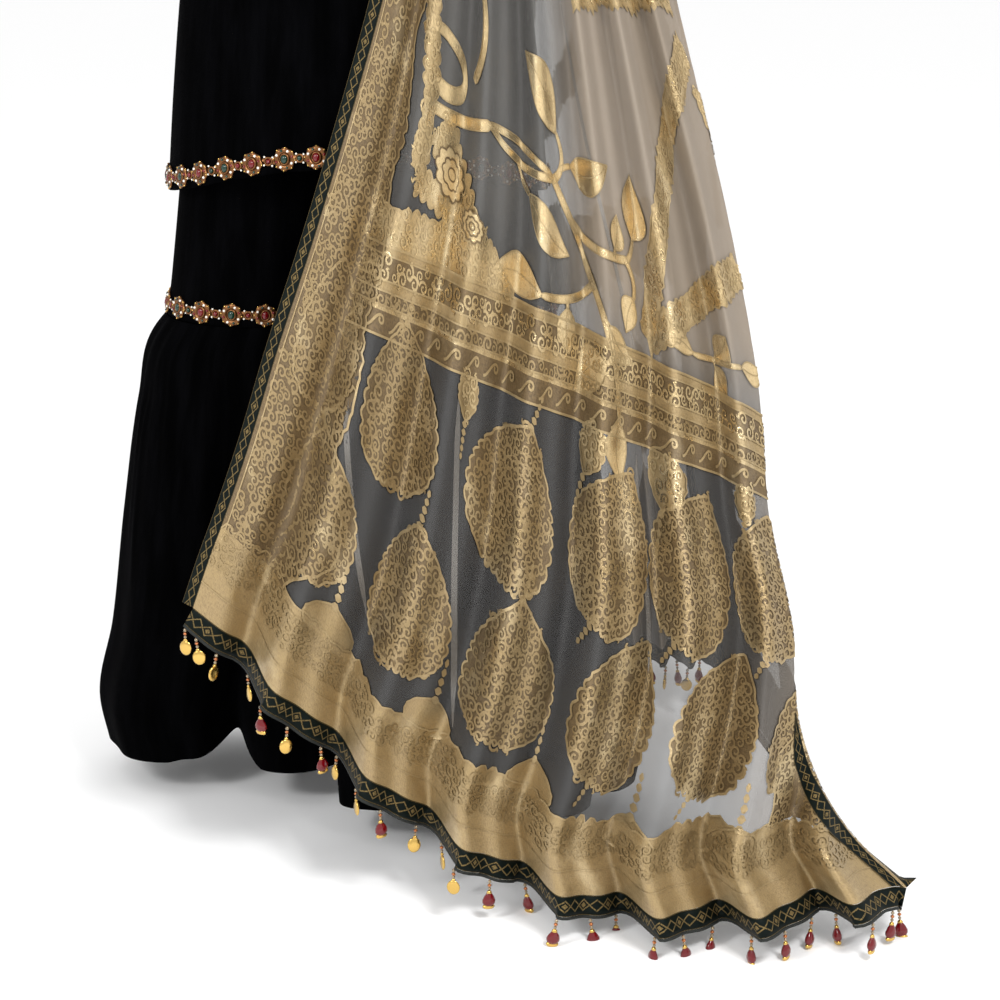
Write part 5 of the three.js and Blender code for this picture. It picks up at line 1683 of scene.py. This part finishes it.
def lace_ribbon(name, at, up, out, node, wraps):
    """The thin gold braid under the settings."""
    rows = [at - up * 0.0040 - out * 0.0003, at - up * 0.0036 + out * 0.0004, at + up * 0.0036 + out * 0.0004,
            at + up * 0.0040 - out * 0.0003]
    grid = np.array(rows)
    if wraps:
        grid = np.concatenate([grid, grid[:, :1]], axis=1)
    uv = flat_lengths(grid)
    obj = cloth_shell(name, grid, 0.0005, uv, COPPER_GOLD, wraps=wraps,
                      inner=grid - np.concatenate(
        [out, out[:1]])[None] * 0.0005 if wraps else grid - out[None] * 0.0005)
    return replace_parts(obj, node)


class Jewels:
    """All small settings and stones, by their finish."""

    def __init__(self):
        self.rings, self.centres, self.links = [], [], []
        self.red, self.green, self.white, self.grains = [], [], [], []

    def medallion(self, at, along, up, out, green):
        turn = euler_of(along, up, out)
        self.rings.append((at, turn, (1.0, 1.0, 1.0)))
        self.centres.append((at + out * 0.0004, turn, (1.0, 1.2, 1.0)))
        heart = self.green if green else self.red
        heart.append((at + out * 0.0018, turn, (3.7, 4.6, 2.6)))
        for k in range(8):
            angle = 2 * math.pi * (k + 0.5) / 8
            away = along * math.cos(angle) + up * math.sin(angle)
            place_at = at + away * 0.0089 + out * 0.0020
            small = (self.red, self.white, self.green, self.white)[k % 4]
            small.append((place_at, turn, 1.45))
        for k in range(8):
            angle = 2 * math.pi * k / 8
            away = along * math.cos(angle) + up * math.sin(angle)
            self.grains.append((at + away * 0.0116 + out * 0.0014, turn, 1.0))

    def link(self, at, along, up, out, green):
        turn = euler_of(along, up, out)
        self.links.append((at, turn, 1.0))
        (self.green if green else self.red).append((at + out * 0.0014, turn, 2.4))
        for k in range(4):
            angle = 2 * math.pi * (k + 0.5) / 4
            away = along * math.cos(angle) + up * math.sin(angle)
            self.white.append((at + away * 0.0060 + out * 0.0008, turn, 1.1))

    def set_all(self):
        arrange("medallion_settings", MEDALLION_RING, self.rings, COPPER_GOLD)
        arrange("centre_settings", CENTRE_RING, self.centres, COPPER_GOLD)
        arrange("link_settings", LINK_RING, self.links, COPPER_GOLD)
        arrange("lace_grains", BEAD, self.grains, BRIGHT_GOLD)
        arrange("red_stones", STONE_DOME, self.red, RED_STONE_PAINTED_GLOW)
        arrange("green_stones", STONE_DOME, self.green, GREEN_STONE_PAINTED_GLOW)
        arrange("white_stones", STONE_DOME, self.white, WHITE_BEAD)


jewels = Jewels()


def sew_lace(name, line, up, out, wraps, node, first_green=False):
    at, along, up_at, out_at, medallions = lace_line(line, up, out, wraps)
    for k, is_medallion in enumerate(medallions):
        frame_of = at[k], along[k], up_at[k], out_at[k]
        if is_medallion:
            jewels.medallion(*frame_of, green=(k // 2) % 2 == (0 if first_green else 1))
        else:
            jewels.link(*frame_of, green=(k // 2) % 3 == 0)
    return lace_ribbon(name, at, up_at, out_at, node, wraps)


for word, (grid, normals), front in (("front", KURTA_FRONT, True), ("back", KURTA_BACK, False)):
    low = grid[0]
    up_way = unit(grid[3] - low)
    sew_lace(f"hem_lace_{word}_braid", low + up_way * (LACE_HALF + 0.001), up_way, normals[0], False,
             "hem_lace_" + word, front)
for side, word in ((-1, "right"), (1, "left")):
    rings = []
    for row in (0, 4):
        front_row, back_row = leg_grid(side, -1)[row], leg_grid(side, 1)[row]
        rings.append(np.concatenate([front_row[:-1], back_row[::-1][:-1]]))
    up_way = unit(rings[1] - rings[0])
    middle = rings[0].mean(axis=0)
    round_way = unit(np.roll(rings[0], -1, axis=0) - np.roll(rings[0], 1, axis=0))
    out_way = unit(np.cross(round_way, up_way))
    out_way *= np.sign(np.sum(out_way * (rings[0] - middle), axis=1, keepdims=True))
    line = rings[0] + up_way * (LACE_HALF + 0.001)
    sew_lace(f"knee_lace_{word}_braid", line, up_way, out_way, True, "knee_lace_" + word)
jewels.set_all()


# ---- bead drops ----------------------------------------------------------------------------
# Where each drop hangs along the front's lower edge: share of the width, and whether it ends in a red stone.
FRONT_DROPS = [(0.004, 0), (0.022, 0), (0.048, 0), (0.082, 0), (0.117, 1), (0.156, 0), (0.195, 1),
               (0.213, 0), (0.240, 0),
               (0.284, 1), (0.333, 0), (0.356, 0), (0.388, 0), (0.433, 1), (0.474, 1), (0.520, 1),
               (0.564, 1), (0.600, 1),
               (0.640, 1), (0.683, 1), (0.722, 1), (0.770, 1), (0.812, 1), (0.852, 1), (0.890, 1),
               (0.930, 1), (0.968, 1),
               (0.996, 1)]
BACK_DROPS = [(0.03 + 0.0588 * k, k % 2) for k in range(17)]
DISC = turned("gold disc", [(2.0, -1.2), (5.0, -1.0), (5.9, -0.3), (5.9, 0.3), (5.0, 1.0), (2.0, 1.2)], 16,
              1.18)
TEARDROP = turned("teardrop", [(0.7, 9.2), (1.8, 7.6), (3.6, 4.6), (4.7, 1.6), (4.7, -0.8), (3.4, -3.2),
                               (1.2, -4.4)], 12, 0.62)
CAP = turned("cap", [(0.8, 3.4), (2.2, 2.4), (3.0, 0.6), (2.6, 0.0), (0.6, 0.2)], 10, 0.8)
SHEATH = turned("sheath", [(3.0, 0.6), (4.6, -0.6), (5.1, -2.6), (4.2, -4.8), (1.6, -5.8), (0.5, -5.9)], 12,
                0.66)
THREAD = turned("thread", [(0.32, 0), (0.32, -1.0)], 5)


class Drops:
    """Bead drops below a lower edge: a clear bead, a copper bead and a gold disc or a red teardrop."""

    def __init__(self):
        self.discs, self.tears, self.caps, self.sheaths = [], [], [], []
        self.clear, self.copper, self.threads = [], [], []

    def hang(self, at, across, out, red, number):
        across = unit(np.array([[across[0], across[1], 0.0]]))[0]
        swing = 0.22 * math.sin(number * 2.4)
        down = unit((np.array([0, 0, -1.0]) + across * swing)[None])[0]
        out = unit((out - down * np.dot(out, down))[None])[0]
        along = np.cross(out, -down)
        turn = euler_of(along, out, -down)
        face = euler_of(along, -down, -out)
        self.threads.append((at, turn, (1, 1, 15.0)))
        self.clear.append((at + down * 0.0024, turn, 1.9))
        self.copper.append((at + down * 0.0062, turn, (2.1, 2.1, 1.7)))
        self.clear.append((at + down * 0.0098, turn, 1.7))
        if red:
            self.caps.append((at + down * 0.0150, turn, 1.0))
            self.tears.append((at + down * 0.0240, turn, (1.45, 1.45, 1.22)))
            self.sheaths.append((at + down * 0.0275, turn, (1.28, 0.9, 0.78)))
        else:
            self.caps.append((at + down * 0.0140, turn, 0.8))
            self.discs.append((at + down * 0.0215, face, (1.15, 1.15, 1.1)))

    def string(self, word, node):
        made = [arrange(f"drop_threads_{word}", THREAD, self.threads, COPPER_BEAD),
                arrange(f"drop_clear_beads_{word}", BEAD, self.clear, SMOKE_BEAD),
                arrange(f"drop_copper_beads_{word}", BEAD, self.copper, COPPER_BEAD),
                arrange(f"drop_caps_{word}", CAP, self.caps, BRIGHT_GOLD),
                arrange(f"drop_discs_{word}", DISC, self.discs, BRIGHT_GOLD),
                arrange(f"drop_sheaths_{word}", SHEATH, self.sheaths, BRIGHT_GOLD),
                arrange(f"drop_teardrops_{word}", TEARDROP, self.tears, RED_STONE_PAINTED_GLOW)]
        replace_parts(made[0], node)


def drop_strip(name, line, away, normals):
    steps = np.array([0.0003, 0.0033])[:, None, None]
    grid = line[None] + away[None] * steps + normals[None] * 0.0006
    uv = flat_lengths(grid)
    return cloth_shell(name, grid, 0.0012, uv, DARK_BRAID, inner=grid - normals[None] * 0.0012)


for word, table_of, (line, away), kind in (("front", FRONT_DROPS, FRONT_EDGE, "front hem"),
                                           ("back", BACK_DROPS, BACK_EDGE, "back hem")):
    face_way = edge_lines(kind, 0.0, DUPATTA_WIDE)[2]
    drop_strip(f"drop_strip_{word}", line, away, face_way)
    drops = Drops()
    share = np.linspace(0, 1, len(line))
    for number, (u, red) in enumerate(table_of):
        k = int(round(np.clip(u, 0.002, 0.998) * (len(line) - 1)))
        drops.hang(line[k] + away[k] * 0.0033, line[min(k + 1, len(line) - 1)] - line[max(k - 1, 0)],
                   face_way[k], red, number)
    drops.string(word, "drops_" + word)


# ---- floor, light and camera ----------------------------------------------------------------------
FLOOR = -1.447


def lay_floor():
    mesh = bpy.data.meshes.new("floor")
    mesh.from_pydata([(-40, -10, FLOOR), (40, -10, FLOOR), (40, 60, FLOOR), (-40, 60, FLOOR)], [],
                     [(0, 1, 2, 3)])
    floor = bpy.data.objects.new("floor", mesh)
    bpy.context.scene.collection.objects.link(floor)
    mesh.materials.append(plain("pale floor", (0.97, 0.97, 0.97), 0.9))


def soft_light(name, where, aim, wide, watts):
    lamp = bpy.data.lights.new(name, "AREA")
    lamp.shape = "RECTANGLE"
    lamp.size, lamp.size_y = wide
    lamp.energy = watts
    holder = bpy.data.objects.new(name, lamp)
    holder.location = where
    holder.rotation_euler = (Vector(aim) - Vector(where)).to_track_quat("-Z", "Y").to_euler()
    bpy.context.scene.collection.objects.link(holder)


def light_scene():
    world = bpy.data.worlds.new("studio")
    world.use_nodes = True
    world.node_tree.nodes["Background"].inputs["Color"].default_value = (1, 1, 1, 1)
    world.node_tree.nodes["Background"].inputs["Strength"].default_value = 1.0
    bpy.context.scene.world = world
    soft_light("high key", (1.3, -2.4, 1.3), (0.2, -0.2, -0.9), (0.7, 0.7), 70)
    soft_light("left key", (-1.9, -2.3, 0.9), (0.1, -0.2, -0.9), (0.7, 0.7), 45)


def set_camera():
    lens = bpy.data.cameras.new("camera")
    lens.sensor_width = 36
    lens.lens = 101.95
    lens.clip_end = 120
    camera = bpy.data.objects.new("camera", lens)
    camera.location = (0.151, -3.0, -0.26)
    camera.rotation_euler = (math.radians(74.4), 0, 0)
    bpy.context.scene.collection.objects.link(camera)
    bpy.context.scene.camera = camera
    bpy.context.scene.view_settings.view_transform = "Standard"


lay_floor()
light_scene()
set_camera()
